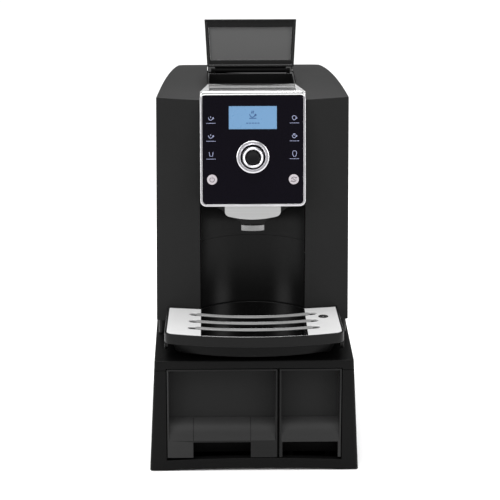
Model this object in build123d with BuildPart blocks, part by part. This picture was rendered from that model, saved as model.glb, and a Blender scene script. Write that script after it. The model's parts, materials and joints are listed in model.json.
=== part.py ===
from build123d import *
import os
from math import cos, radians, sin, sqrt, tan

# Bean-to-cup coffee machine on a cabinet with two drawers, with its bean lid open.
# Millimetres. X to the right seen from the front, Y to the rear, Z up. The origin is on
# the floor, under the middle of the whole machine.

# Driving dimensions: the whole
rear_y = 225.0                # back faces of machine and cabinet
tray_front_y = -225.0         # nose of the drip tray, the most forward point
cabinet_front_y = -194.4      # front frame of the cabinet
cabinet_height = 184.5        # floor to the platform that the machine stands on
machine_height = 397.5        # platform to the highest line of the casings
plinth_height = 24.4          # chassis base between platform and casings
casing_half = 151.0           # half the machine's width at the top front crease

# Clearances
gap = 0.6                     # between pieces that slide or part
seam = 0.4                    # shut line between fixed covers
touch = 0.1                   # between curved faces that would else coincide
screw_play = 0.4              # round the brew unit's lead screw
socket_play = 0.3             # round a shaft in its bore

# Stock
casing_wall = 2.5
tank_wall = 2.5
sheet = 2.0
bin_wall = 2.0
bin_inset = 3.0               # bin narrower than its front, each side

# Cabinet
cabinet_top_half = 155.7
cabinet_flare = 9.1          # how much wider each side is at the floor
cabinet_wall = 4.0
cabinet_corner = 5.0
foot_height = 5.0
foot_radius = 12.0
foot_inset = 26.0
foot_edge = 1.0
shell_lift = 0.8              # lower edge of the cabinet above the floor
cover_flange = 16.2           # depth of the platform's rim
cover_sheet = 3.5
cover_edge = 2.0
frame_depth = 14.0            # depth of the front frame
frame_side = 17.8             # width of its uprights at the platform
frame_head = 13.5             # height of its top bar
opening_low = 17.6
rail_rise = 3.5               # arch of the bottom rail
floor_sheet = 3.0

# Drawers
divider_x = 38.0              # middle of the upright between the drawers
divider_sheet = 2.2
drawer_gap = 1.1              # between a drawer front and the frame
face_recess = 25.0            # how far its face lies behind the frame
face_sheet = 4.0
front_edge = 2.8              # rim round the face
lip_top_z = 81.0
lip_low_z = 51.0
lip_sheet = 3.0
lip_back = 6.0                # how far the lip's rear is chamfered
lip_root = 5.0
bin_depth = 350.0
bin_drop = 21.0               # bin's edge below the opening's top
bin_corner = 8.0
runner_width = 8.0
finger_left = -95.8
finger_right = -5.7
drawer_side = 5.0             # side wall beside the right drawer's finger recess

# Drip tray, heights above the platform
tray_half = 139.9             # half the rim's width at the front corners
tray_rear_half = 136.6        # and where it meets the casings
tray_front_radius = 453.0
tray_corner = 16.0
rim_height = 48.5
rim_depth = 17.0
rim_sheet = 3.0
tray_lift = 9.9
tray_wall = 2.6
hull_floor_half = 122.0       # the hull's plan at its floor and under its rim
hull_floor_setback = 18.2
hull_floor_radius = 280.0
hull_rim_half = 130.0
hull_rim_setback = 12.0
hull_rim_radius = 400.0
hull_corner = 14.0
hull_floor_nose_wall = 2.8
hull_rim_nose_wall = 4.0
hull_rear_y = -84.0
plate_sheet = 3.0
plate_seat = 6.0              # how far the ledge under the plate reaches in
slots = ((-123.4, 95.0, 290.0), (-155.6, 96.0, 345.0), (-187.6, 97.0, 380.0))
slot_width = 13.0
rail_width = 9.6
rail_short = 4.0              # rail shorter than its slot, each end
rail_proud = 0.6
rib_places = ((-70, -150), (0, -155), (70, -150))
rib_width = 6.0
rib_length = 86.0
rib_depth = 4.0
float_x = 111.0
float_y = -123.0
float_hole = 13.5
float_play = 1.0
float_radius = 8.0
float_height = 10.0
float_drop = 1.0              # float's top under the rim
float_edge = 1.5
guide_inset = 2.6
guide_width = 6.0
guide_front_y = -190.0
guide_lift = 12.5
guide_nose = 8.0

# Casings
casing_flare = 3.4            # how much wider each side is at the bottom
casing_middle_fall = 14.5      # how much narrower halfway along, at casing_middle_y
casing_rear_fall = 33.0       # and at the rear
casing_middle_y = 65.0
casing_front_radius = 643.0
casing_front_y = -83.4        # foremost point of the casings' front cylinder, at x = 0
casing_inner = 83.2           # inner edge of the casings' fronts
strip_half = 70.6             # half the gap between the casings' tops
strip_turn_y = 0.0            # where the gap stops narrowing
crown_radius = 1100.0
crown_y = 55.0
rear_corner = 15.0
window_half = 105.0           # rear window that the rear panel fills
window_lap = 2.0

# Chassis base
plinth_front_y = -62.0
plinth_inset = 2.4
plinth_floor = 3.0
plinth_corner = 6.0
plinth_well_y = 90.0
plinth_well_width = 210.0
plinth_well_length = 220.0
chute_y = 12.0                # grounds fall through here into the left drawer
chute_width = 60.0
chute_length = 50.0
drain_x = 78.0                # drips run through here into the right drawer
drain_y = 0.0
drain_radius = 9.0

# Cup niche
niche_radius = 108.4
niche_y = -148.9
niche_seam_height = 160.5     # above the platform

# Head
head_height = 179.0           # lower edge to top edge of the panel
head_rise = 6.0               # panel's top edge above the casings
panel_lean = 8.3
panel_front_y = -106.0        # lower edge of the panel
panel_corner = 10.0
panel_depth = 4.5
panel_frame = 3.8
panel_edge = 1.6
head_back_y = -1.0
head_step_y = -38.0           # underside's rear edge
head_step = 31.0              # heights of the slope behind it, above the head's underside
head_slope = 61.0
head_waist_y = -78.0
board_up = 31.0
board_height = 98.0
board_inset = 8.0
board_space = 16.0
board_set = 6.0
board_sheet = 1.6
board_hole = 5.0
post_places = ((-66, 74), (66, 74), (-66, 0), (66, 0))
post_radius = 3.0
glass_set = 0.5               # glass surface behind the frame's
display_set = 0.3             # display surface behind the glass's
display_width = 75.0
display_height = 36.0
display_up = 49.3
knob_up = -12.3
knob_radius = 25.7
knob_bore = 19.6
knob_rise = 1.5
knob_edge = 1.2
knob_floor = 1.6
knob_shaft_hole = 4.6
selector_radius = 16.4
selector_foot = 1.8           # how much wider it is at its foot
selector_height = 12.5
selector_edge = 2.4
selector_floor = 3.0
selector_shaft = 4.0
selector_shaft_length = 7.0
selector_bore = 2.2
ok_radius = 10.8
ok_depth = 6.5
ok_set = 1.0                  # button's top under the selector's
ok_edge = 1.4
ok_stem = 1.8
ok_stem_length = 9.0
button_up = -47.6
button_x = 64.0
button_radius = 7.9
button_play = 0.5
button_depth = 4.0
button_rise = 1.2
button_edge = 0.8
icon_rows = (48.4, 20.3, -7.7)
icon_relief = 0.3
cup_up = 1.2                  # cup, saucer and dash of an icon, each with its width and height
cup_size = (7.0, 4.6)
cup_side = 75.0
saucer_up = -2.8
saucer_size = (10.0, 0.9)
dash_up = -6.6
dash_size = (11.0, 1.2)
head_fall = 5.0               # head's top falls this much to the rear
cover_inset = 3.1             # top cover narrower than the gap between the casings
cover_plate = 4.0
head_roof = 10.0              # the housing's roof below the top surface
cover_bow = 12.0

# Spout, heights against the head's underside
spout_half = 58.7
spout_front_y = -86.5
spout_rear_y = -62.0
spout_rise = 66.0
spout_shoulder_drop = 5.0
spout_neck_drop = 31.0
neck_half = 19.1
neck_inset = 3.0
neck_length = 5.0
tongue_width = 24.0
tongue_depth = 12.0
tongue_lift = 10.0
spout_cover_half = 44.3
spout_cover_sheet = 3.0
spout_cover_drop = 26.1
spout_cover_rise = 47.0
spout_cover_bow = 6.7
spout_cover_corner = 9.0
spout_cover_edge = 1.2
outlet_half = 18.3
outlet_height = 9.0
outlet_front_y = -88.0
outlet_bow = 4.0
outlet_back = 10.0
nozzle_x = 10.0
nozzle_radius = 4.5
nozzle_bore = 2.5
nozzle_length = 2.5
rail_half = 8.0
rail_depth = 3.4
rail_y = -46.0
rail_foot = 4.0

# Hopper and lid
hopper_inset = 0.8
hopper_rear_y = 83.0
hopper_wall = 2.5
hopper_depth = 43.0           # straight part
funnel_depth = 85.0
funnel_half = 24.0
rim_shelf = 6.0
hinge_y = 87.0
hinge_rise = 4.0              # hinge above the hopper's rim
hinge_pin = 2.0
pin_play = 0.15
hinge_barrel = 3.6
barrel_half = 58.0
knuckle_length = 6.0
deck_drop = 3.0
deck_sheet = 8.0
deck_rear_y = 109.0
lid_open = 9.0                # lean of the open lid past the vertical
lid_length = 83.0
lid_start = 6.0
lid_hinge_half = 70.3
lid_tip_half = 74.7
lid_back = 6.0
lid_rim = 2.5
lid_rim_side = 3.0
lid_rim_start = 9.0
window_start = 17.0
window_end = 70.3
window_inset = 6.0
window_set = 0.5
window_sheet = 2.5
web_length = 7.0

# Inside
frame_x = 76.0
frame_front_y = -30.0
frame_drop = 10.8             # side frames' top below the crown's rear edge
frame_flange = 22.0
frame_hole = 20.0
frame_holes = ((20, 61.1), (20, 171.1), (90, 91.1), (0, 253.1), (90, 191.1), (165, 53.1))
shelf_height = 109.5          # tank shelf above the platform
shelf_sheet = 3.0
shelf_lap = 4.0
valve_radius = 12.0
valve_height = 8.0
valve_bore = 2.5
tank_inset = 8.0              # tank narrower than the side frames, each side
tank_front_y = 112.0
tank_back_gap = 7.0
tank_play = 0.2
tank_drop = 6.8               # tank's edge below the crown's rear edge
tank_corner = 10.0
tank_outlet = 4.0
tank_lid_front = 2.0
tank_lid_back = 1.0
tank_lid_sheet = 3.0
grinder_y = 45.0
grinder_radius = 40.0
grinder_height = 60.0
grinder_neck = 8.0
grinder_floor = 5.0
throat_width = 36.0
throat_depth = 12.0
burr_radius = 28.0
burr_height = 22.0
burr_lift = 25.0              # burrs' foot above the grinder's
burr_mouth = 21.5
burr_waist = 15.0
cone_foot = 20.5
cone_top = 9.0
cone_lift = 24.0
flute_count = 12
flute_radius = 1.6
flute_height = 12.0
carrier_radius = 24.0
carrier_lift = 13.0
carrier_sheet = 5.0
drive_radius = 6.0
drive_drop = 8.0              # drive shaft's end below the grinder
drive_length = 33.0
motor_radius = 32.0
motor_length = 47.4
motor_yoke = 26.0
motor_yoke_sheet = 4.0
motor_yoke_drop = 7.0
motor_yoke_bite = 4.0
motor_well = 11.0
brew_half = 38.0
brew_rib = 6.0
brew_lift = 30.5              # brew unit's foot above the platform
brew_height = 110.0
brew_front_y = -28.0
brew_depth = 84.0
brew_wall = 5.0
brew_roof = 7.0
brew_y = -2.0
brew_drop_width = 30.0
piston_rod_radius = 12.0
piston_rod_length = 12.0
piston_radius = 20.0
piston_height = 8.0
brew_leg_y = 14.0
cylinder_radius = 25.0
cylinder_bore = 21.0
cylinder_height = 54.0
cylinder_lift = 13.0
cylinder_floor = 6.0
nut_y = 22.0
nut_width = 22.0
nut_depth = 28.0
nut_height = 14.0
nut_lift = 12.0
screw_y = 38.0
screw_radius = 4.0
brew_motor_radius = 15.0
brew_motor_height = 18.0
brew_motor_well = 8.0
boiler_inset = 40.0           # boiler's axis inside the casing's crease
boiler_radius = 30.0
boiler_height = 130.0
boiler_lift = 115.5
boiler_edge = 12.0
bracket_depth = 14.0
bracket_width = 30.0
bracket_height = 50.0
bracket_lift = 40.0
hose_radius = 4.0
hose_bend = 14.0
feed_bend = 4.6
boiler_bend = 20.0
feed_drop = 24.0              # feed hose's level run below the valve
hose_x = 26.0
hose_rise = 32.0

# Rear
module_x = 40.0               # power inlet and switch in one module
module_lift = 55.5
module_width = 70.0
module_height = 27.0
module_depth = 20.0
well_depth = 16.0
inlet_x = 55.0
inlet_width = 24.5
inlet_height = 17.0
inlet_corner = 4.0
contact_places = ((-7, -2), (7, -2), (0, 3))
contact_set = 3.0
contact_size = (2.0, 4.0)
contact_length = 13.0
switch_x = 22.0
switch_width = 22.0
switch_height = 17.0
switch_play = 1.6
rocker_back = 9.0
rocker_shoulder = 3.4
rocker_high = 0.8
rocker_middle = 2.0
rocker_low = 2.6
pump_x = 100.0
pump_y = 165.0
pump_width = 34.0
pump_depth = 44.0
pump_height = 30.0
pump_neck_radius = 9.0
pump_neck_height = 12.0
screw_x = 88.0
screw_heights = (21.1, 171.1, 331.1)
screw_thread = 1.7
screw_hole = 1.8
screw_head = 3.5
screw_sink = 3.8
screw_sink_depth = 1.3
screw_set = 0.1
screw_head_depth = 1.2
screw_length = 9.0
cross_width = 4.0
cross_slot = 0.8
cross_depth = 0.7
louvre_count = 9
louvre_pitch = 9.0
louvre_x = 40.0
louvre_length = 60.0
louvre_width = 3.4
louvre_drop = 112.0           # middle louvre below the crown

# Derived
plinth_top = cabinet_height + plinth_height
cabinet_foot_half = cabinet_top_half + cabinet_flare
cabinet_depth = rear_y - cabinet_front_y
cabinet_mid_y = (rear_y + cabinet_front_y) / 2
opening_half = cabinet_top_half - frame_side
opening_top = cabinet_height - frame_head
front_thickness = face_recess + face_sheet
bin_low = opening_low + rail_rise + gap
bin_top_z = opening_top - bin_drop
rim_top = cabinet_height + rim_height
rim_low = rim_top - rim_depth
tray_floor = cabinet_height + tray_lift
guide_x = tray_rear_half - guide_inset
guide_low = cabinet_height + guide_lift
crown_z = cabinet_height + machine_height
casing_foot_half = casing_half + casing_flare
casing_middle_half = casing_half - casing_middle_fall
casing_rear_half = casing_half - casing_rear_fall
niche_seam = cabinet_height + niche_seam_height
niche_half = casing_inner - 2 * seam
head_half = niche_half
head_top_z = crown_z + head_rise
head_low_z = head_top_z - head_height
lean = radians(panel_lean)
panel_width = 2 * (casing_inner - seam)
panel_height = (head_top_z - head_low_z) / cos(lean)
panel_mid_z = (head_low_z + head_top_z) / 2
panel_mid_y = panel_front_y + (head_top_z - head_low_z) / 2 * tan(lean)
panel = Plane(origin=(0, panel_mid_y, panel_mid_z), x_dir=(1, 0, 0), z_dir=(0, -cos(lean), sin(lean)))
cover_front_y = panel_mid_y + panel_height / 2 * sin(lean) + panel_depth / cos(lean) + touch
cover_rear_z = head_top_z - head_fall
cover_half = strip_half - cover_inset
spout_top = head_low_z + spout_rise
spout_shoulder = head_low_z - spout_shoulder_drop
spout_neck_z = head_low_z - spout_neck_drop
spout_cover_low = head_low_z - spout_cover_drop
spout_cover_top = head_low_z + spout_cover_rise
spout_mid_y = (spout_rear_y + spout_front_y) / 2
outlet_top = spout_neck_z - neck_length
outlet_low = outlet_top - outlet_height
hopper_half = strip_half - hopper_inset
hopper_rim_z = cover_rear_z
hopper_waist_z = hopper_rim_z - hopper_depth
funnel_low_z = hopper_waist_z - funnel_depth
hinge_z = hopper_rim_z + hinge_rise
tilt = radians(lid_open)
lid_plane = Plane(origin=(0, hinge_y, hinge_z), x_dir=(1, 0, 0), z_dir=(0, -cos(tilt), sin(tilt)))
crown_fall = crown_radius - sqrt(crown_radius ** 2 - (rear_y - crown_y) ** 2)
frame_top = crown_z - crown_fall - frame_drop
shelf_z = cabinet_height + shelf_height
tank_half = frame_x - tank_inset
tank_rear_y = rear_y - tank_back_gap
tank_low = shelf_z + shelf_sheet + tank_play
tank_top = crown_z - crown_fall - tank_drop
grinder_z = funnel_low_z - grinder_height
brew_low = cabinet_height + brew_lift
brew_top = brew_low + brew_height
boiler_x = casing_half - boiler_inset
boiler_z = cabinet_height + boiler_lift
module_z = cabinet_height + module_lift
casing_centre_y = casing_front_y + casing_front_radius
left_front = (-opening_half + drawer_gap, divider_x - divider_sheet / 2 - gap)
right_front = (divider_x + divider_sheet / 2 + gap, opening_half - drawer_gap)


def save(piece, name):
    piece.part.label = name
    export_step(piece.part, f"parts/{name}.step")


# A plane that faces the front, at depth y. Extruding by a negative amount goes to the rear.
def facing(y):
    return Plane.XZ.offset(-y)


# A plane that faces right, at x. Its own axes are Y and Z.
def sideways(x):
    return Plane.YZ.offset(x)


# Half the cabinet's width at height z: its sides flare towards the floor.
def cabinet_half(z):
    return cabinet_foot_half + (cabinet_top_half - cabinet_foot_half) * z / cabinet_height


# Half the casings' width at their front corner, at height z.
def casing_corner(z):
    fall = (head_top_z - z) / (head_top_z - plinth_top)
    return casing_half + (casing_foot_half - casing_half) * fall


# Depth of the casings' front face at x, moved forward by clear.
def casing_front(x, clear=0.0):
    radius = casing_front_radius + clear
    return casing_centre_y - sqrt(radius ** 2 - x ** 2)


# Height of the crown over y.
def crown(y):
    return crown_z - crown_radius + sqrt(crown_radius ** 2 - (y - crown_y) ** 2)


# Height of the head's top at depth y. It falls a little towards the hopper.
def head_top(y):
    return cover_rear_z + (head_top_z - cover_rear_z) * y / panel_front_y


# Plan of the cabinet at height z, drawn in by inset.
def cabinet_plan(z, inset=0.0):
    corner = max(cabinet_corner - inset, 1.0)
    with BuildSketch(Plane.XY.offset(z)) as plan:
        with Locations((0, cabinet_mid_y)):
            RectangleRounded(2 * (cabinet_half(z) - inset), cabinet_depth - 2 * inset, corner)
    return plan.sketch


def make_cabinet_shell():
    top = cabinet_height - cover_flange - seam
    with BuildPart() as core:
        loft([cabinet_plan(shell_lift - 1, cabinet_wall), cabinet_plan(top + 1, cabinet_wall)],
             ruled=True)
        split(bisect_by=facing(cabinet_front_y + frame_depth), keep=Keep.BOTTOM)
    with BuildPart() as cabinet_shell:
        loft([cabinet_plan(shell_lift), cabinet_plan(top)], ruled=True)
        add(core.part, mode=Mode.SUBTRACT)
        # opening over an arched bottom rail
        with BuildSketch(facing(cabinet_front_y)):
            with BuildLine():
                ThreePointArc((-opening_half, opening_low), (0, opening_low + rail_rise),
                              (opening_half, opening_low))
                Polyline((opening_half, opening_low), (opening_half, top), (-opening_half, top),
                         (-opening_half, opening_low))
            make_face()
            with BuildLine():
                ThreePointArc((-opening_half, shell_lift), (0, shell_lift + rail_rise),
                              (opening_half, shell_lift))
                Line((opening_half, shell_lift), (-opening_half, shell_lift))
            make_face()
        extrude(amount=-frame_depth, mode=Mode.SUBTRACT)
    save(cabinet_shell, "cabinet_shell")


# Spans of the two bins, left and right.
def bin_span(front):
    return front[0] + bin_inset, front[1] - bin_inset


# The floor plate carries two runners under each bin.
def make_cabinet_floor():
    top = foot_height + floor_sheet
    with BuildPart() as cabinet_floor:
        loft([cabinet_plan(foot_height, cabinet_wall + seam),
              cabinet_plan(top, cabinet_wall + seam)], ruled=True)
        split(bisect_by=facing(cabinet_front_y + frame_depth + gap), keep=Keep.BOTTOM)
        for front in (left_front, right_front):
            west, east = bin_span(front)
            for x in (west + 2 * runner_width, east - 2 * runner_width):
                with Locations((x, cabinet_front_y + front_thickness, top)):
                    Box(runner_width, bin_depth, bin_low - touch - top,
                        align=(Align.CENTER, Align.MIN, Align.MIN))
    save(cabinet_floor, "cabinet_floor")


# Middles of the four feet, set in from the corners.
def foot_places():
    x = cabinet_half(0) - foot_inset
    front = cabinet_front_y + frame_depth + foot_inset
    rear = rear_y - foot_inset
    return [(x, front), (-x, front), (x, rear), (-x, rear)]


def make_feet():
    with BuildPart() as feet:
        with Locations(*foot_places()):
            Cylinder(foot_radius, foot_height, align=(Align.CENTER, Align.CENTER, Align.MIN))
        chamfer(feet.edges().group_by(Axis.Z)[0], foot_edge)
    save(feet, "feet")


def make_platform_cover():
    with BuildPart() as platform_cover:
        loft([cabinet_plan(cabinet_height - cover_flange), cabinet_plan(cabinet_height)], ruled=True)
        fillet(platform_cover.faces().sort_by(Axis.Z)[-1].edges(), cover_edge)
        loft([cabinet_plan(cabinet_height - cover_flange, cabinet_wall),
              cabinet_plan(cabinet_height - cover_sheet, cabinet_wall)], ruled=True, mode=Mode.SUBTRACT)
        # the flange is cut back over the drawers
        with BuildSketch(facing(cabinet_front_y)):
            with Locations((0, cabinet_height - cover_flange)):
                Rectangle(2 * opening_half, 2 * (opening_top - cabinet_height + cover_flange))
        extrude(amount=-frame_depth, mode=Mode.SUBTRACT)
        # grounds chute over the left drawer, drain over the right one
        with BuildSketch(Plane.XY.offset(cabinet_height)):
            with Locations((0, chute_y)):
                Rectangle(chute_width, chute_length)
            with Locations((drain_x, drain_y)):
                Circle(drain_radius)
        extrude(amount=-cover_sheet, mode=Mode.SUBTRACT)
    save(platform_cover, "platform_cover")


def make_cabinet_divider():
    low = foot_height + floor_sheet
    high = cabinet_height - cover_sheet
    front = cabinet_front_y + frame_depth
    with BuildPart() as cabinet_divider:
        with BuildSketch(sideways(divider_x)):
            with BuildLine():
                Polyline((front, low), (rear_y - cabinet_wall, low), (rear_y - cabinet_wall, high),
                         (cabinet_front_y + cabinet_wall, high),
                         (cabinet_front_y + cabinet_wall, opening_low + 2 * rail_rise),
                         (front, opening_low + 2 * rail_rise), close=True)
            make_face()
        extrude(amount=divider_sheet / 2, both=True)
    save(cabinet_divider, "cabinet_divider")


# Side view of a drawer front's face: a flat panel over a lip that bulges forward.
def face_profile(x):
    face_y = cabinet_front_y + face_recess
    top = opening_top - drawer_gap - front_edge
    with BuildSketch(sideways(x)) as profile:
        with BuildLine():
            Polyline((cabinet_front_y, lip_low_z), (cabinet_front_y - 1, lip_low_z),
                     (cabinet_front_y - 1, top), (face_y, top), (face_y, lip_top_z))
            TangentArc((cabinet_front_y, lip_low_z), (face_y, lip_top_z), tangent=(0, 1))
        make_face()
    return profile.sketch


# Side view of the finger recess under the lip.
def finger_profile(x, low):
    back = cabinet_front_y + face_recess
    with BuildSketch(sideways(x)) as profile:
        with BuildLine():
            Polyline((cabinet_front_y - 1, low - 1), (back, low - 1), (back, lip_low_z + lip_back),
                     (back - lip_back, lip_low_z + lip_back),
                     (cabinet_front_y + lip_root, lip_low_z - lip_sheet),
                     (cabinet_front_y - 1, lip_low_z - lip_sheet), close=True)
        make_face()
    return profile.sketch


def make_drawer_front(front, finger, name):
    low = opening_low + rail_rise + drawer_gap
    high = opening_top - drawer_gap
    width = front[1] - front[0]
    with BuildPart() as drawer_front:
        with BuildSketch(facing(cabinet_front_y)):
            with Locations(((front[0] + front[1]) / 2, (low + high) / 2)):
                Rectangle(width, high - low)
        extrude(amount=-front_thickness)
        extrude(face_profile(front[0] + front_edge), amount=width - 2 * front_edge,
                mode=Mode.SUBTRACT)
        extrude(finger_profile(finger[0], low), amount=finger[1] - finger[0], mode=Mode.SUBTRACT)
    save(drawer_front, name)


def make_drawer_bin(front, name):
    west, east = bin_span(front)
    start = cabinet_front_y + front_thickness
    with BuildPart() as drawer_bin:
        with BuildSketch(Plane.XY.offset(bin_low)):
            with Locations(((west + east) / 2, start + bin_depth / 2)):
                Rectangle(east - west, bin_depth)
        extrude(amount=bin_top_z - bin_low)
        fillet(drawer_bin.edges().filter_by(Axis.Z).group_by(Axis.Y)[-1], bin_corner)
        offset(amount=-bin_wall, openings=drawer_bin.faces().sort_by(Axis.Z)[-1])
    save(drawer_bin, name)


# Plan of the chassis base, set in a little under the casings.
def plinth_plan(z):
    corner = casing_foot_half - plinth_inset
    middle = casing_middle_half + casing_flare - plinth_inset
    tail = casing_rear_half + casing_flare - plinth_inset
    rear = rear_y - casing_wall
    with BuildSketch(Plane.XY.offset(z)) as plan:
        with BuildLine():
            ThreePointArc((corner, plinth_front_y), (middle, casing_middle_y), (tail, rear))
            Line((tail, rear), (-tail, rear))
            ThreePointArc((-tail, rear), (-middle, casing_middle_y), (-corner, plinth_front_y))
            Line((-corner, plinth_front_y), (corner, plinth_front_y))
        make_face()
        fillet(plan.vertices(), plinth_corner)
    return plan.sketch


def make_plinth():
    with BuildPart() as plinth:
        extrude(plinth_plan(cabinet_height), amount=plinth_height)
        # hollow and open at the top, with ribs that carry the brew unit
        with BuildSketch(Plane.XY.offset(cabinet_height + plinth_floor)):
            with Locations((0, plinth_well_y)):
                RectangleRounded(plinth_well_width, plinth_well_length, plinth_corner)
            with Locations((-brew_half, plinth_well_y), (brew_half, plinth_well_y)):
                Rectangle(brew_rib, plinth_well_length, mode=Mode.SUBTRACT)
        extrude(amount=plinth_height, mode=Mode.SUBTRACT)
        with BuildSketch(Plane.XY.offset(cabinet_height)):
            with Locations((0, chute_y)):
                Rectangle(chute_width, chute_length)
            with Locations((drain_x, drain_y)):
                Circle(drain_radius)
        extrude(amount=plinth_height, mode=Mode.SUBTRACT)
    save(plinth, "plinth")


def make_tray_guides():
    with BuildPart() as tray_guides:
        with BuildSketch(sideways(guide_x)):
            with BuildLine():
                Polyline((plinth_front_y, guide_low), (plinth_front_y, plinth_top - seam),
                         (hull_rear_y, plinth_top - seam), (hull_rear_y, rim_low - gap),
                         (guide_front_y, rim_low - gap), (guide_front_y, rim_low - guide_nose),
                         (guide_front_y + 2 * guide_nose, guide_low), close=True)
            make_face()
        extrude(amount=guide_width)
        mirror(about=Plane.YZ)
    save(tray_guides, "tray_guides")


# Plan of the tray's rim, drawn in by inset.
def tray_plan(z, inset=0.0):
    nose = tray_front_y
    sag = tray_front_radius - sqrt(tray_front_radius ** 2 - tray_half ** 2)
    wall_radius = niche_radius - 2 * seam
    root_x = niche_half - gap
    root_y = niche_y + sqrt(wall_radius ** 2 - root_x ** 2)
    mid_x = (root_x + tray_rear_half) / 2
    rear = casing_front(tray_rear_half, 2 * seam)
    with BuildSketch(Plane.XY.offset(z)) as plan:
        with BuildLine():
            ThreePointArc((-tray_half, nose + sag), (0, nose), (tray_half, nose + sag))
            Line((tray_half, nose + sag), (tray_rear_half, rear))
            ThreePointArc((tray_rear_half, rear), (mid_x, casing_front(mid_x, 2 * seam)),
                          (root_x, root_y))
            ThreePointArc((root_x, root_y), (0, niche_y + wall_radius), (-root_x, root_y))
            ThreePointArc((-root_x, root_y), (-mid_x, casing_front(mid_x, 2 * seam)),
                          (-tray_rear_half, rear))
            Line((-tray_rear_half, rear), (-tray_half, nose + sag))
        make_face()
        fillet(plan.vertices().group_by(Axis.Y)[0], tray_corner)
        if inset:
            offset(amount=-inset, kind=Kind.INTERSECTION, mode=Mode.REPLACE)
    return plan.sketch


# Plan of the tray's hull at height z.
def hull_plan(z, half, nose, radius):
    sag = radius - sqrt(radius ** 2 - half ** 2)
    with BuildSketch(Plane.XY.offset(z)) as plan:
        with BuildLine():
            ThreePointArc((-half, nose + sag), (0, nose), (half, nose + sag))
            Polyline((half, nose + sag), (half, hull_rear_y), (-half, hull_rear_y),
                     (-half, nose + sag))
        make_face()
        fillet(plan.vertices(), hull_corner)
    return plan.sketch


def make_tray_basin():
    ledge = rim_top - plate_sheet - seam
    floor_nose = tray_front_y + hull_floor_setback
    rim_nose = tray_front_y + hull_rim_setback
    with BuildPart() as tray_basin:
        extrude(tray_plan(rim_low), amount=rim_top - rim_low)
        loft([hull_plan(tray_floor, hull_floor_half, floor_nose, hull_floor_radius),
              hull_plan(rim_low, hull_rim_half, rim_nose, hull_rim_radius)], ruled=True)
        extrude(tray_plan(ledge, rim_sheet), amount=plate_sheet + 1, mode=Mode.SUBTRACT)
        extrude(tray_plan(rim_low + tray_wall, plate_seat), amount=ledge - rim_low - tray_wall,
                mode=Mode.SUBTRACT)
        loft([hull_plan(tray_floor + tray_wall, hull_floor_half - tray_wall,
                        floor_nose + hull_floor_nose_wall, hull_floor_radius),
              hull_plan(rim_low + tray_wall, hull_rim_half - tray_wall,
                        rim_nose + hull_rim_nose_wall, hull_rim_radius)],
             ruled=True, mode=Mode.SUBTRACT)
    save(tray_basin, "tray_basin")


# Plan of the slots, or of the rails in them, at height z. Each slot has a nose depth, a half
# length and a radius.
def slot_plan(z, width, shorter=0.0):
    with BuildSketch(Plane.XY.offset(z)) as plan:
        for nose, length, radius in slots:
            half = length - shorter
            sag = radius - sqrt(radius ** 2 - half ** 2)
            with BuildLine(mode=Mode.PRIVATE) as middle:
                ThreePointArc((-half, nose + sag), (0, nose), (half, nose + sag))
            SlotArc(middle.edge(), width)
    return plan.sketch


def make_drip_plate():
    low = rim_top - plate_sheet - seam
    with BuildPart() as drip_plate:
        extrude(tray_plan(low, rim_sheet + seam), amount=plate_sheet)
        extrude(slot_plan(low, slot_width), amount=plate_sheet, mode=Mode.SUBTRACT)
        with Locations((float_x, float_y, low)):
            Cylinder(float_hole / 2, plate_sheet, align=(Align.CENTER, Align.CENTER, Align.MIN),
                     mode=Mode.SUBTRACT)
    save(drip_plate, "drip_plate")


def make_plate_rails():
    low = rim_top - plate_sheet - seam
    with BuildPart() as plate_rails:
        extrude(slot_plan(low, rail_width, rail_short), amount=plate_sheet + rail_proud)
        with BuildSketch(Plane.XY.offset(low)):
            with Locations(*rib_places):
                Rectangle(rib_width, rib_length)
        extrude(amount=-rib_depth)
    save(plate_rails, "plate_rails")


def make_tray_float():
    low = tray_floor + tray_wall + touch
    with BuildPart() as tray_float:
        with Locations((float_x, float_y, low)):
            Cylinder(float_radius, float_height, align=(Align.CENTER, Align.CENTER, Align.MIN))
            Cylinder(float_hole / 2 - float_play, rim_top - float_drop - low,
                     align=(Align.CENTER, Align.CENTER, Align.MIN))
        fillet(tray_float.edges().group_by(Axis.Z)[-1], float_edge)
    save(tray_float, "tray_float")


# Plan of the right casing at height z, drawn in by inset and open towards the middle.
def casing_plan(z, inset=0.0):
    corner = casing_corner(z) - inset
    spread = corner - casing_half
    rear = rear_y - inset
    front = casing_front(corner, -inset)
    inner = casing_inner - 2 * inset
    strip = strip_half - 2 * inset
    rear_x = casing_rear_half + spread
    with BuildSketch(Plane.XY.offset(z)) as plan:
        with BuildLine():
            ThreePointArc((inner, casing_front(inner, -inset)),
                          ((inner + corner) / 2, casing_front((inner + corner) / 2, -inset)),
                          (corner, front))
            ThreePointArc((corner, front), (casing_middle_half + spread, casing_middle_y),
                          (rear_x, rear))
            Polyline((rear_x, rear), (strip, rear), (strip, strip_turn_y),
                     (inner, casing_front(inner, -inset)))
        make_face()
        fillet(plan.vertices().sort_by_distance((rear_x, rear, z))[0], rear_corner - inset)
    return plan.sketch


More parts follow.
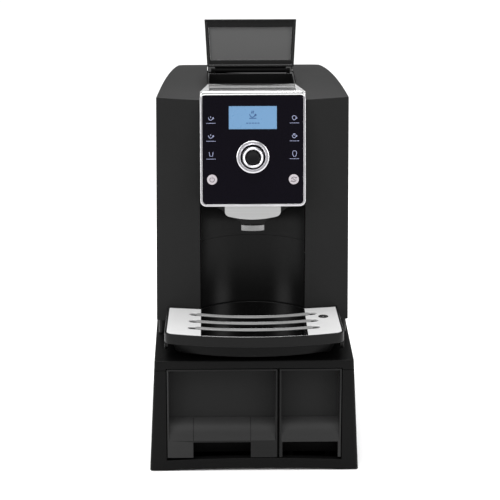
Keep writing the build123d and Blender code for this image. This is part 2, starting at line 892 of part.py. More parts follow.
def make_casing(side, name):
    with BuildPart() as casing:
        loft([casing_plan(plinth_top), casing_plan(head_top_z)], ruled=True)
        with BuildSketch(sideways(0)):
            with Locations((crown_y, crown_z - crown_radius)):
                Circle(crown_radius)
        extrude(amount=2 * casing_half, mode=Mode.INTERSECT)
        with BuildPart(mode=Mode.PRIVATE) as core:
            loft([casing_plan(plinth_top, casing_wall), casing_plan(head_top_z, casing_wall)],
                 ruled=True)
            with BuildSketch(sideways(0)):
                with Locations((crown_y, crown_z - crown_radius)):
                    Circle(crown_radius - casing_wall)
            extrude(amount=2 * casing_half, mode=Mode.INTERSECT)
        add(core.part, mode=Mode.SUBTRACT)
        # window for the rear panel
        with Locations((strip_half - window_lap, rear_y + 1, plinth_top)):
            Box(window_half - strip_half + window_lap, casing_wall + 2,
                frame_top - plinth_top + window_lap, align=(Align.MIN, Align.MAX, Align.MIN), mode=Mode.SUBTRACT)
        if side < 0:
            mirror(about=Plane.YZ, mode=Mode.REPLACE)
    save(casing, name)


def make_niche(low, high, name):
    with BuildPart() as niche:
        with BuildSketch(Plane.XY.offset(low)):
            with Locations((0, niche_y)):
                Circle(niche_radius + casing_wall)
                Circle(niche_radius, mode=Mode.SUBTRACT)
                Rectangle(2 * niche_half, niche_radius + casing_wall + 5,
                          align=(Align.CENTER, Align.MIN), mode=Mode.INTERSECT)
        extrude(amount=high - low)
    save(niche, name)


def make_head_housing():
    front_low = panel_front_y + panel_depth / cos(lean)
    roof_z = head_top(cover_front_y) - head_roof
    back_roof_z = head_top(head_back_y) - head_roof
    with BuildPart() as head_housing:
        with BuildSketch(sideways(0)):
            with BuildLine():
                Polyline((front_low, head_low_z), (cover_front_y, roof_z), (head_back_y, back_roof_z),
                         (head_back_y, head_low_z + head_slope), (head_step_y, head_low_z + head_step),
                         (head_step_y, head_low_z), close=True)
            make_face()
        extrude(amount=head_half, both=True)
        # plan narrows with the gap between the casings
        with BuildSketch(Plane.XY.offset(head_low_z)):
            with BuildLine():
                Polyline((-head_half, tray_front_y), (head_half, tray_front_y), (head_half, head_waist_y),
                         (strip_half - gap, strip_turn_y), (-strip_half + gap, strip_turn_y),
                         (-head_half, head_waist_y), close=True)
            make_face()
        extrude(amount=head_top_z - head_low_z, mode=Mode.INTERSECT)
        # pocket for the spout, open below
        with BuildSketch(sideways(0)):
            with BuildLine():
                front = spout_front_y - spout_cover_sheet - gap
                Polyline((front, head_low_z), (front, spout_cover_top + gap),
                         (spout_front_y - gap, spout_cover_top + gap),
                         (spout_front_y - gap, spout_top + gap), (rail_y, spout_top + gap),
                         (rail_y, head_low_z), close=True)
            make_face()
        extrude(amount=spout_half + gap, both=True, mode=Mode.SUBTRACT)
        # space for the control board behind the panel
        with BuildSketch(panel.offset(-panel_depth)):
            with Locations((0, board_up)):
                Rectangle(2 * (head_half - board_inset), board_height + 4)
        extrude(amount=-board_space, mode=Mode.SUBTRACT)
        # rail that the spout runs along
        with Locations((0, rail_y, head_low_z + rail_foot)):
            Box(rail_half * 2, rail_depth, spout_top - head_low_z - rail_foot + gap,
                align=(Align.CENTER, Align.MAX, Align.MIN))
    save(head_housing, "head_housing")


def make_control_board():
    with BuildPart() as control_board:
        with BuildSketch(panel.offset(-panel_depth - board_set)):
            with Locations((0, board_up)):
                Rectangle(2 * (head_half - board_inset) - 2, board_height)
            with Locations((0, knob_up)):
                Circle(board_hole, mode=Mode.SUBTRACT)
        extrude(amount=-board_sheet)
        with BuildSketch(panel.offset(-panel_depth)):
            with Locations(*post_places):
                Circle(post_radius)
        extrude(amount=-board_set)
    save(control_board, "control_board")


def make_panel_bezel():
    with BuildPart() as panel_bezel:
        with BuildSketch(panel):
            RectangleRounded(panel_width, panel_height, panel_corner)
        extrude(amount=-panel_depth)
        fillet(panel_bezel.faces().sort_by(Axis.Y)[0].edges(), panel_edge)
        with BuildSketch(panel):
            RectangleRounded(panel_width - 2 * panel_frame, panel_height - 2 * panel_frame,
                             panel_corner - panel_frame)
        extrude(amount=-panel_depth, mode=Mode.SUBTRACT)
    save(panel_bezel, "panel_bezel")


def make_panel_glass():
    with BuildPart() as panel_glass:
        with BuildSketch(panel.offset(-glass_set)):
            RectangleRounded(panel_width - 2 * panel_frame - touch,
                             panel_height - 2 * panel_frame - touch, panel_corner - panel_frame)
            with Locations((0, display_up)):
                Rectangle(display_width + 2 * touch, display_height + 2 * touch, mode=Mode.SUBTRACT)
            with Locations((0, knob_up)):
                Circle(knob_radius + touch, mode=Mode.SUBTRACT)
            with Locations((-button_x, button_up), (button_x, button_up)):
                Circle(button_radius + button_play, mode=Mode.SUBTRACT)
        extrude(amount=glass_set - panel_depth)
    save(panel_glass, "panel_glass")


def make_display():
    with BuildPart() as display:
        with BuildSketch(panel.offset(-glass_set - display_set)):
            with Locations((0, display_up)):
                Rectangle(display_width, display_height)
        extrude(amount=glass_set + display_set - panel_depth)
    save(display, "display")


# A small cup with its handle and saucer line, and the dash under it.
def make_panel_icons():
    with BuildPart() as panel_icons:
        with BuildSketch(panel.offset(-glass_set)):
            for x in (-button_x, button_x):
                for up in icon_rows:
                    with Locations((x, up + cup_up)):
                        Trapezoid(*cup_size, cup_side, rotation=180)
                    with Locations((x, up + saucer_up)):
                        Rectangle(*saucer_size)
                    with Locations((x, up + dash_up)):
                        Rectangle(*dash_size)
        extrude(amount=icon_relief)
    save(panel_icons, "panel_icons")


def make_knob_bezel():
    dish = glass_set - panel_depth + knob_floor
    with BuildPart() as knob_bezel:
        with BuildSketch(panel.offset(-panel_depth)):
            with Locations((0, knob_up)):
                Circle(knob_radius)
        extrude(amount=panel_depth + knob_rise)
        fillet(knob_bezel.faces().sort_by(Axis.Y)[0].edges(), knob_edge)
        with BuildSketch(panel.offset(dish)):
            with Locations((0, knob_up)):
                Circle(knob_bore)
        extrude(amount=panel_depth + 2, mode=Mode.SUBTRACT)
        with BuildSketch(panel.offset(-panel_depth)):
            with Locations((0, knob_up)):
                Circle(knob_shaft_hole)
        extrude(amount=panel_depth, mode=Mode.SUBTRACT)
    save(knob_bezel, "knob_bezel")


def make_selector_ring():
    low = glass_set - panel_depth + knob_floor + 2 * seam
    with BuildPart() as selector_ring:
        with BuildSketch(panel.offset(low)):
            with Locations((0, knob_up)):
                Circle(selector_radius + selector_foot)
        with BuildSketch(panel.offset(selector_height)):
            with Locations((0, knob_up)):
                Circle(selector_radius)
        loft(ruled=True)
        fillet(selector_ring.faces().sort_by(Axis.Y)[0].edges(), selector_edge)
        with BuildSketch(panel.offset(low + selector_floor)):
            with Locations((0, knob_up)):
                Circle(ok_radius + socket_play)
        extrude(amount=selector_height, mode=Mode.SUBTRACT)
        with BuildSketch(panel.offset(low)):
            with Locations((0, knob_up)):
                Circle(selector_shaft)
        extrude(amount=-selector_shaft_length)
        with BuildSketch(panel.offset(low + selector_floor + 1)):
            with Locations((0, knob_up)):
                Circle(selector_bore)
        extrude(amount=-2 * selector_shaft_length, mode=Mode.SUBTRACT)
    save(selector_ring, "selector_ring")


def make_ok_button():
    low = selector_height - ok_set - ok_depth
    with BuildPart() as ok_button:
        with BuildSketch(panel.offset(low)):
            with Locations((0, knob_up)):
                Circle(ok_radius)
        extrude(amount=ok_depth)
        fillet(ok_button.faces().sort_by(Axis.Y)[0].edges(), ok_edge)
        with BuildSketch(panel.offset(low)):
            with Locations((0, knob_up)):
                Circle(ok_stem)
        extrude(amount=-ok_stem_length)
    save(ok_button, "ok_button")


def make_round_button(x, name):
    with BuildPart() as round_button:
        with BuildSketch(panel.offset(button_rise - button_depth)):
            with Locations((x, button_up)):
                Circle(button_radius)
        extrude(amount=button_depth)
        fillet(round_button.faces().sort_by(Axis.Y)[0].edges(), button_edge)
    save(round_button, name)


# Side view of the head's top, from the panel's back to the hopper, thick below by depth.
def head_top_profile(depth):
    front = cover_front_y
    back = head_back_y
    with BuildSketch(sideways(0)) as profile:
        with BuildLine():
            Polyline((front, head_top(front)), (back, head_top(back)), (back, head_top(back) - depth),
                     (front, head_top(front) - depth), close=True)
        make_face()
    return profile.sketch


def make_head_top_cover():
    with BuildPart() as head_top_cover:
        extrude(head_top_profile(cover_plate), amount=cover_half, both=True)
        # the rear edge bows forward round the hopper's mouth
        with BuildSketch(Plane.XY.offset(head_top_z)):
            with BuildLine():
                ThreePointArc((-cover_half, 0), (0, -cover_bow), (cover_half, 0))
                Line((cover_half, 0), (-cover_half, 0))
            make_face()
        extrude(amount=-head_fall - 2 * cover_plate, mode=Mode.SUBTRACT)
    save(head_top_cover, "head_top_cover")


def make_head_cheeks():
    front = cover_front_y
    back = head_back_y
    with BuildPart() as head_cheeks:
        extrude(head_top_profile(head_roof), amount=head_half, both=True)
        with BuildSketch(Plane.XY.offset(head_top_z)):
            for side in (-1, 1):
                with BuildLine():
                    Polyline((side * (cover_half + seam), front), (side * head_half, front),
                             (side * (strip_half - gap), back), (side * (cover_half + seam), back),
                             close=True)
                make_face()
        extrude(amount=-head_fall - 2 * head_roof, mode=Mode.INTERSECT)
    save(head_cheeks, "head_cheeks")


def make_spout_carriage():
    depth = spout_rear_y - spout_front_y
    with BuildPart() as spout_carriage:
        with BuildSketch(Plane.XY.offset(spout_shoulder)):
            with Locations((0, spout_mid_y)):
                Rectangle(2 * spout_half, depth)
        extrude(amount=spout_top - spout_shoulder)
        with BuildSketch(Plane.XY.offset(spout_shoulder)):
            with Locations((0, spout_mid_y)):
                Rectangle(2 * spout_half, depth)
        with BuildSketch(Plane.XY.offset(spout_neck_z)):
            with Locations((0, spout_mid_y)):
                Rectangle(2 * neck_half, depth - neck_inset)
        loft(ruled=True)
        with BuildSketch(Plane.XY.offset(outlet_top)):
            with Locations((0, spout_mid_y)):
                Rectangle(2 * neck_half, depth - neck_inset)
        extrude(amount=spout_neck_z - outlet_top)
        # tongue that runs along the rail
        with Locations((0, spout_rear_y, spout_shoulder + tongue_lift)):
            Box(tongue_width, tongue_depth, spout_top - spout_shoulder - tongue_lift,
                align=(Align.CENTER, Align.MIN, Align.MIN))
    save(spout_carriage, "spout_carriage")


def make_spout_cover():
    corner_z = spout_cover_low + spout_cover_bow
    with BuildPart() as spout_cover:
        with BuildSketch(facing(spout_front_y - spout_cover_sheet)) as face:
            with BuildLine():
                ThreePointArc((-spout_cover_half, corner_z), (0, spout_cover_low),
                              (spout_cover_half, corner_z))
                Polyline((spout_cover_half, corner_z), (spout_cover_half, spout_cover_top),
                         (-spout_cover_half, spout_cover_top), (-spout_cover_half, corner_z))
            make_face()
            fillet(face.vertices().group_by(Axis.Z)[0], spout_cover_corner)
        extrude(amount=-spout_cover_sheet)
        fillet(spout_cover.faces().sort_by(Axis.Y)[0].edges().group_by(Axis.Z)[:-1], spout_cover_edge)
    save(spout_cover, "spout_cover")


def make_spout_outlet():
    side_y = outlet_front_y + outlet_bow
    back_y = spout_mid_y + outlet_back
    with BuildPart() as spout_outlet:
        with BuildSketch(Plane.XY.offset(outlet_low)):
            with BuildLine():
                ThreePointArc((-outlet_half, side_y), (0, outlet_front_y), (outlet_half, side_y))
                Polyline((outlet_half, side_y), (outlet_half, back_y), (-outlet_half, back_y),
                         (-outlet_half, side_y))
            make_face()
        extrude(amount=outlet_top - outlet_low)
        with Locations((-nozzle_x, spout_mid_y, outlet_low), (nozzle_x, spout_mid_y, outlet_low)):
            Cylinder(nozzle_radius, nozzle_length, align=(Align.CENTER, Align.CENTER, Align.MAX))
            Cylinder(nozzle_bore, nozzle_length + 2, align=(Align.CENTER, Align.CENTER, Align.MAX),
                     mode=Mode.SUBTRACT)
    save(spout_outlet, "spout_outlet")


def make_bean_hopper():
    depth = hopper_rear_y - gap
    mid = (hopper_rear_y + gap) / 2
    with BuildPart() as bean_hopper:
        with BuildSketch(Plane.XY.offset(hopper_waist_z)):
            with Locations((0, mid)):
                Rectangle(2 * hopper_half, depth)
        extrude(amount=hopper_rim_z - hopper_waist_z)
        # the rim bows forward in the middle
        with BuildSketch(Plane.XY.offset(hopper_rim_z)):
            with BuildLine():
                ThreePointArc((-cover_half, gap), (0, gap - cover_bow), (cover_half, gap))
                Line((cover_half, gap), (-cover_half, gap))
            make_face()
        extrude(amount=-rim_shelf)
        with BuildSketch(Plane.XY.offset(hopper_waist_z)):
            with Locations((0, mid)):
                Rectangle(2 * hopper_half, depth)
        with BuildSketch(Plane.XY.offset(funnel_low_z)):
            with Locations((0, grinder_y)):
                Rectangle(2 * funnel_half, 2 * funnel_half)
        loft(ruled=True)
        with BuildSketch(Plane.XY.offset(hopper_waist_z)):
            with Locations((0, mid)):
                Rectangle(2 * (hopper_half - hopper_wall), depth - 2 * hopper_wall)
        extrude(amount=hopper_rim_z - hopper_waist_z, mode=Mode.SUBTRACT)
        with BuildSketch(Plane.XY.offset(hopper_waist_z)):
            with Locations((0, mid)):
                Rectangle(2 * (hopper_half - hopper_wall), depth - 2 * hopper_wall)
        with BuildSketch(Plane.XY.offset(funnel_low_z)):
            with Locations((0, grinder_y)):
                Rectangle(2 * (funnel_half - hopper_wall), 2 * (funnel_half - hopper_wall))
        loft(ruled=True, mode=Mode.SUBTRACT)
    save(bean_hopper, "bean_hopper")


def make_hinge_deck():
    top = hopper_rim_z - deck_drop
    start = hopper_rear_y + seam
    with BuildPart() as hinge_deck:
        with Locations((0, start, top)):
            Box(2 * hopper_half, deck_rear_y - start, deck_sheet,
                align=(Align.CENTER, Align.MIN, Align.MAX))
        with BuildSketch(sideways(barrel_half + seam)):
            with Locations((hinge_y, hinge_z)):
                Circle(hinge_barrel - touch)
            with Locations((hinge_y, (hinge_z + top) / 2)):
                Rectangle(2 * (hinge_barrel - touch), hinge_z - top)
        extrude(amount=knuckle_length)
        with BuildSketch(sideways(barrel_half + seam)):
            with Locations((hinge_y, hinge_z)):
                Circle(hinge_pin)
        extrude(amount=knuckle_length, mode=Mode.SUBTRACT)
        mirror(about=Plane.YZ)
    save(hinge_deck, "hinge_deck")


def make_hinge_pin():
    with BuildPart() as lid_hinge_pin:
        with BuildSketch(sideways(0)):
            with Locations((hinge_y, hinge_z)):
                Circle(hinge_pin)
        extrude(amount=barrel_half + seam + knuckle_length, both=True)
    save(lid_hinge_pin, "lid_hinge_pin")


# Plan of the lid in its own plane, from start to end along it, drawn in by inset.
def lid_plan(height, start, end, inset):
    slope = (lid_tip_half - lid_hinge_half) / lid_length
    near = lid_hinge_half + slope * start - inset
    far = lid_hinge_half + slope * end - inset
    with BuildSketch(lid_plane.offset(height)) as plan:
        with BuildLine():
            Polyline((-near, start), (near, start), (far, end), (-far, end), close=True)
        make_face()
    return plan.sketch


def make_hopper_lid():
    with BuildPart() as hopper_lid:
        extrude(lid_plan(-lid_back, lid_start, lid_length, 0), amount=lid_back + lid_rim)
        extrude(lid_plan(0, lid_rim_start, lid_length - lid_rim, lid_rim_side), amount=lid_rim,
                mode=Mode.SUBTRACT)
        extrude(lid_plan(-lid_back, window_start, window_end, window_inset), amount=lid_back + 1,
                mode=Mode.SUBTRACT)
        # hinge barrel and the web behind it
        with BuildSketch(sideways(0)):
            with Locations((hinge_y, hinge_z)):
                Circle(hinge_barrel)
        extrude(amount=barrel_half, both=True)
        with BuildSketch(lid_plane.offset(-hinge_barrel)):
            with Locations((0, web_length / 2)):
                Rectangle(2 * barrel_half, web_length)
        extrude(amount=hinge_barrel)
        with BuildSketch(sideways(0)):
            with Locations((hinge_y, hinge_z)):
                Circle(hinge_pin + pin_play)
        extrude(amount=barrel_half, both=True, mode=Mode.SUBTRACT)
    save(hopper_lid, "hopper_lid")


def make_lid_window():
    with BuildPart() as lid_window:
        extrude(lid_plan(window_set - lid_back, window_start + touch, window_end - touch,
                         window_inset + touch), amount=window_sheet)
    save(lid_window, "lid_window")


def make_side_frame(side, name):
    with BuildPart() as side_frame:
        with BuildSketch(sideways(frame_x)):
            with BuildLine():
                Polyline((frame_front_y, plinth_top), (rear_y - casing_wall, plinth_top),
                         (rear_y - casing_wall, frame_top), (frame_front_y, frame_top), close=True)
            make_face()
            with Locations(*[(y, plinth_top + z) for y, z in frame_holes]):
                Circle(frame_hole, mode=Mode.SUBTRACT)
        extrude(amount=sheet)
        # rear flange that takes the panel screws
        with Locations((frame_x, rear_y - casing_wall, plinth_top)):
            Box(frame_flange, sheet, frame_top - plinth_top, align=(Align.MIN, Align.MAX, Align.MIN))
        with BuildSketch(facing(rear_y - casing_wall)):
            with Locations(*screw_places(1)):
                Circle(screw_hole)
        extrude(amount=sheet, mode=Mode.SUBTRACT)
        if side < 0:
            mirror(about=Plane.YZ, mode=Mode.REPLACE)
    save(side_frame, name)


# Rear panel screws on one side of the machine.
def screw_places(side):
    return [(side * screw_x, plinth_top + z) for z in screw_heights]


def make_rear_panel():
    high = frame_top + 1
    with BuildPart() as rear_panel:
        with BuildSketch(facing(rear_y)):
            with Locations((0, (plinth_top + high) / 2)):
                Rectangle(2 * (window_half - seam), high - plinth_top)
            with Locations(*screw_places(1), *screw_places(-1)):
                Circle(screw_hole, mode=Mode.SUBTRACT)
            with Locations((module_x, module_z)):
                Rectangle(module_width + touch, module_height + touch, mode=Mode.SUBTRACT)
            # cooling louvres
            with GridLocations(0, louvre_pitch, 1, louvre_count):
                with Locations((-louvre_x, crown_z - louvre_drop), (louvre_x, crown_z - louvre_drop)):
                    SlotOverall(louvre_length, louvre_width, mode=Mode.SUBTRACT)
        extrude(amount=casing_wall)
        with BuildSketch(facing(rear_y)):
            with Locations(*screw_places(1), *screw_places(-1)):
                Circle(screw_sink)
        extrude(amount=screw_sink_depth, mode=Mode.SUBTRACT)
    save(rear_panel, "rear_panel")


def make_panel_screws():
    with BuildPart() as panel_screws:
        with BuildSketch(facing(rear_y - screw_set)):
            with Locations(*screw_places(1), *screw_places(-1)):
                Circle(screw_head)
        extrude(amount=screw_head_depth)
        with BuildSketch(facing(rear_y - screw_set)):
            with Locations(*screw_places(1), *screw_places(-1)):
                Circle(screw_thread)
        extrude(amount=screw_length)
        with BuildSketch(facing(rear_y - screw_set)):
            with Locations(*screw_places(1), *screw_places(-1)):
                Rectangle(cross_width, cross_slot)
                Rectangle(cross_slot, cross_width)
        extrude(amount=cross_depth, mode=Mode.SUBTRACT)
    save(panel_screws, "panel_screws")


# One module holds the cord's inlet, with its three pins, and the well of the mains switch.
def make_power_inlet():
    with BuildPart() as power_inlet:
        with BuildSketch(facing(rear_y)):
            with Locations((module_x, module_z)):
                Rectangle(module_width, module_height)
        extrude(amount=module_depth)
        with BuildSketch(facing(rear_y)) as mouth:
            with Locations((inlet_x, module_z)):
                Rectangle(inlet_width, inlet_height)
            chamfer(mouth.vertices().group_by(Axis.Z)[-1], inlet_corner)
            with Locations((switch_x, module_z)):
                Rectangle(switch_width, switch_height)
        extrude(amount=well_depth, mode=Mode.SUBTRACT)
        with BuildSketch(facing(rear_y - contact_set)):
            with Locations(*[(inlet_x + x, module_z + z) for x, z in contact_places]):
                Rectangle(*contact_size)
        extrude(amount=contact_length)
    save(power_inlet, "power_inlet")


# The rocker tips about an upright line through its middle, so its back is round.
def make_rocker_switch():
    half = switch_width / 2 - switch_play
    height = switch_height - 2 * gap
    shoulder = rear_y - rocker_shoulder
    with BuildPart() as rocker_switch:
        with BuildSketch(Plane.XY.offset(module_z - height / 2)):
            with BuildLine():
                ThreePointArc((switch_x - half, shoulder), (switch_x, rear_y - rocker_back),
                              (switch_x + half, shoulder))
                Polyline((switch_x + half, shoulder), (switch_x + half, rear_y - rocker_high),
                         (switch_x, rear_y - rocker_middle), (switch_x - half, rear_y - rocker_low),
                         (switch_x - half, shoulder))
            make_face()
        extrude(amount=height)
    save(rocker_switch, "rocker_switch")


def make_grinder_body():
    body_height = grinder_height - grinder_neck
    with BuildPart() as grinder_body:
        with Locations((0, grinder_y, grinder_z)):
            Cylinder(grinder_radius, body_height, align=(Align.CENTER, Align.CENTER, Align.MIN))
        with BuildSketch(Plane.XY.offset(grinder_z + body_height)):
            with Locations((0, grinder_y)):
                Rectangle(2 * funnel_half, 2 * funnel_half)
        extrude(amount=grinder_neck)
        with Locations((0, grinder_y, grinder_z + grinder_floor)):
            Cylinder(burr_radius + touch, body_height - grinder_floor - 1,
                     align=(Align.CENTER, Align.CENTER, Align.MIN), mode=Mode.SUBTRACT)
        with Locations((0, grinder_y, grinder_z)):
            Cylinder(drive_radius + socket_play, 4 * grinder_floor, mode=Mode.SUBTRACT)
        with BuildSketch(Plane.XY.offset(funnel_low_z)):
            with Locations((0, grinder_y)):
                Rectangle(throat_width, throat_width)
        extrude(amount=-throat_depth, mode=Mode.SUBTRACT)
    save(grinder_body, "grinder_body")


def make_upper_burr():
    with BuildPart() as upper_burr:
        with Locations((0, grinder_y, grinder_z + burr_lift)):
            Cylinder(burr_radius, burr_height, align=(Align.CENTER, Align.CENTER, Align.MIN))
        with Locations((0, grinder_y, grinder_z + burr_lift)):
            Cone(burr_mouth, burr_waist, burr_height, align=(Align.CENTER, Align.CENTER, Align.MIN),
                 mode=Mode.SUBTRACT)
    save(upper_burr, "upper_burr")


def make_lower_burr():
    with BuildPart() as lower_burr:
        with Locations((0, grinder_y, grinder_z + cone_lift)):
            Cone(cone_foot, cone_top, burr_height, align=(Align.CENTER, Align.CENTER, Align.MIN))
        with Locations((0, grinder_y, grinder_z + carrier_lift)):
            Cylinder(carrier_radius, carrier_sheet, align=(Align.CENTER, Align.CENTER, Align.MIN))
        with Locations((0, grinder_y, grinder_z - drive_drop)):
            Cylinder(drive_radius, drive_length, align=(Align.CENTER, Align.CENTER, Align.MIN))
        # flutes
        with BuildSketch(Plane.XY.offset(grinder_z + cone_lift)):
            with Locations((0, grinder_y)):
                with PolarLocations(cone_foot, flute_count):
                    Circle(flute_radius)
        extrude(amount=flute_height, mode=Mode.SUBTRACT)
    save(lower_burr, "lower_burr")


def make_grinder_motor():
    top = grinder_z - gap
    with BuildPart() as grinder_motor:
        with Locations((0, grinder_y, top)):
            Cylinder(motor_radius, motor_length, align=(Align.CENTER, Align.CENTER, Align.MAX))
        with Locations((0, grinder_y, top)):
            Cylinder(drive_radius + socket_play, 2 * motor_well, mode=Mode.SUBTRACT)
        with BuildSketch(Plane.XY.offset(grinder_z - motor_yoke_drop)):
            with Locations((0, grinder_y)):
                Rectangle(2 * frame_x - seam, motor_yoke)
                Circle(motor_radius - motor_yoke_bite, mode=Mode.SUBTRACT)
        extrude(amount=motor_yoke_sheet)
    save(grinder_motor, "grinder_motor")


def make_brew_frame():
    upright = (Align.CENTER, Align.CENTER, Align.MIN)
    with BuildPart() as brew_frame:
        with Locations((0, brew_front_y, brew_low)):
            Box(2 * brew_half, brew_depth, brew_height, align=(Align.CENTER, Align.MIN, Align.MIN))
        with Locations((0, brew_front_y - 2, brew_low + brew_wall)):
            Box(2 * (brew_half - brew_wall), brew_depth - brew_wall + 1,
                brew_height - brew_wall - brew_roof, align=(Align.CENTER, Align.MIN, Align.MIN),
                mode=Mode.SUBTRACT)
        with Locations((0, screw_y, brew_top - 20)):
            Cylinder(screw_radius + screw_play, 30, align=upright, mode=Mode.SUBTRACT)
        with Locations((0, brew_y, brew_low - 1)):
            Box(brew_drop_width, brew_drop_width, 2 * brew_wall, align=upright, mode=Mode.SUBTRACT)
        # fixed upper piston
        with Locations((0, brew_y, brew_top - brew_roof)):
            Cylinder(piston_rod_radius, piston_rod_length,
                     align=(Align.CENTER, Align.CENTER, Align.MAX))
        with Locations((0, brew_y, brew_top - brew_roof - piston_rod_length)):
            Cylinder(piston_radius, piston_height, align=(Align.CENTER, Align.CENTER, Align.MAX))
        # legs down to the plinth's ribs
        with Locations((-brew_half, brew_leg_y, plinth_top), (brew_half, brew_leg_y, plinth_top)):
            Box(brew_rib, brew_depth, brew_low - plinth_top, align=upright)
    save(brew_frame, "brew_frame")


def make_brew_cylinder():
    low = brew_low + cylinder_lift
    with BuildPart() as brew_cylinder:
        with Locations((0, brew_y, low)):
            Cylinder(cylinder_radius, cylinder_height, align=(Align.CENTER, Align.CENTER, Align.MIN))
        with Locations((0, brew_y + nut_y, low + nut_lift)):
            Box(nut_width, nut_depth, nut_height, align=(Align.CENTER, Align.MIN, Align.MIN))
        with Locations((0, brew_y, low + cylinder_floor)):
            Cylinder(cylinder_bore, cylinder_height + 6, align=(Align.CENTER, Align.CENTER, Align.MIN),
                     mode=Mode.SUBTRACT)
        with Locations((0, screw_y, low)):
            Cylinder(screw_radius + screw_play, 2 * cylinder_height, mode=Mode.SUBTRACT)
    save(brew_cylinder, "brew_cylinder")


def make_brew_screw():
    with BuildPart() as brew_screw:
        with Locations((0, screw_y, brew_low + brew_wall + seam)):
            Cylinder(screw_radius, brew_height + 1, align=(Align.CENTER, Align.CENTER, Align.MIN))
    save(brew_screw, "brew_screw")


def make_brew_motor():
    with BuildPart() as brew_motor:
        with Locations((0, screw_y, brew_top)):
            Cylinder(brew_motor_radius, brew_motor_height,
                     align=(Align.CENTER, Align.CENTER, Align.MIN))
            Cylinder(screw_radius + screw_play, brew_motor_well,
                     align=(Align.CENTER, Align.CENTER, Align.MIN), mode=Mode.SUBTRACT)
    save(brew_motor, "brew_motor")


def make_boiler():
    with BuildPart() as boiler:
        with Locations((boiler_x, 0, boiler_z)):
            Cylinder(boiler_radius, boiler_height, align=(Align.CENTER, Align.CENTER, Align.MIN))
        fillet(boiler.edges().filter_by(GeomType.CIRCLE), boiler_edge)
        with Locations((frame_x + sheet, 0, boiler_z + bracket_lift)):
            Box(bracket_depth, bracket_width, bracket_height, align=(Align.MIN, Align.CENTER, Align.MIN))
    save(boiler, "boiler")


def make_pump():
    with BuildPart() as pump:
        with Locations((pump_x, pump_y, plinth_top)):
            Box(pump_width, pump_depth, pump_height, align=(Align.CENTER, Align.CENTER, Align.MIN))
        with Locations((pump_x, pump_y, plinth_top + pump_height)):
            Cylinder(pump_neck_radius, pump_neck_height,
                     align=(Align.CENTER, Align.CENTER, Align.MIN))
    save(pump, "pump")


# A hose along straight runs with round bends.
def add_hose(points, bend):
    with BuildLine(mode=Mode.PRIVATE) as route:
        FilletPolyline(*points, radius=bend)
    start = Plane(origin=points[0], z_dir=route.line % 0)
    with BuildSketch(start, mode=Mode.PRIVATE) as section:
        Circle(hose_radius)
    return sweep(section.sketch, path=route.line, mode=Mode.PRIVATE)


def make_hoses():
    pump_top = plinth_top + pump_height + pump_neck_height
    feed_z = shelf_z - valve_height - feed_drop
    low_z = plinth_top + pump_height / 2 + 1
    high_z = boiler_z + boiler_height + hose_rise
    spout_z = head_low_z + head_step / 2
    with BuildPart() as hoses:
        add(add_hose([(0, pump_y, shelf_z - valve_height), (0, pump_y, feed_z),
                      (pump_x, pump_y, feed_z), (pump_x, pump_y, pump_top)], feed_bend))
        add(add_hose([(boiler_x, pump_y - pump_depth / 2, low_z), (boiler_x, 0, low_z),
                      (boiler_x, 0, boiler_z)], boiler_bend))
        add(add_hose([(boiler_x, 0, boiler_z + boiler_height), (boiler_x, 0, high_z),
                      (hose_x, 0, high_z), (hose_x, 0, brew_top)], hose_bend))
        add(add_hose([(-hose_x, 0, brew_top), (-hose_x, 0, spout_z),
                      (-hose_x, head_step_y, spout_z)], hose_bend))
    save(hoses, "hoses")


# The tank stands on the shelf, over the valve that feeds the pump.
def make_tank_shelf():
    with BuildPart() as tank_shelf:
        with Locations((0, tank_front_y - shelf_lap, shelf_z)):
            Box(2 * frame_x, tank_rear_y - tank_front_y + 2 * shelf_lap, shelf_sheet,
                align=(Align.CENTER, Align.MIN, Align.MIN))
        with Locations((0, pump_y, shelf_z)):
            Cylinder(valve_radius, valve_height, align=(Align.CENTER, Align.CENTER, Align.MAX))
            Cylinder(valve_bore, 4 * valve_height, mode=Mode.SUBTRACT)
    save(tank_shelf, "tank_shelf")


def make_water_tank():
    with BuildPart() as water_tank:
        with BuildSketch(Plane.XY.offset(tank_low)):
            with Locations((0, (tank_front_y + tank_rear_y) / 2)):
                RectangleRounded(2 * tank_half, tank_rear_y - tank_front_y, tank_corner)
        extrude(amount=tank_top - tank_low)
        offset(amount=-tank_wall, openings=water_tank.faces().sort_by(Axis.Z)[-1])
        with Locations((0, pump_y, tank_low - 1)):
            Cylinder(tank_outlet, 4 * tank_wall, align=(Align.CENTER, Align.CENTER, Align.MIN),
                     mode=Mode.SUBTRACT)
    save(water_tank, "water_tank")


# Block of the tank's lid, drawn in by inset and under a crown lowered by it.
def tank_lid_block(inset):
    front = deck_rear_y + tank_lid_front + inset
    rear = rear_y - casing_wall - tank_lid_back - inset
    with BuildPart() as block:
        with Locations((0, front, tank_top + seam)):
            Box(2 * (hopper_half - inset), rear - front, crown_z - tank_top,
                align=(Align.CENTER, Align.MIN, Align.MIN))
        with BuildSketch(sideways(-hopper_half)):
            with Locations((crown_y, crown_z - crown_radius)):
                Circle(crown_radius - inset)
        extrude(amount=2 * hopper_half, mode=Mode.INTERSECT)
    return block.part


# The tank's lid follows the casings' crown.
def make_tank_lid():
    with BuildPart() as tank_lid:
        add(tank_lid_block(0.0))
        add(tank_lid_block(tank_lid_sheet), mode=Mode.SUBTRACT)
    save(tank_lid, "tank_lid")


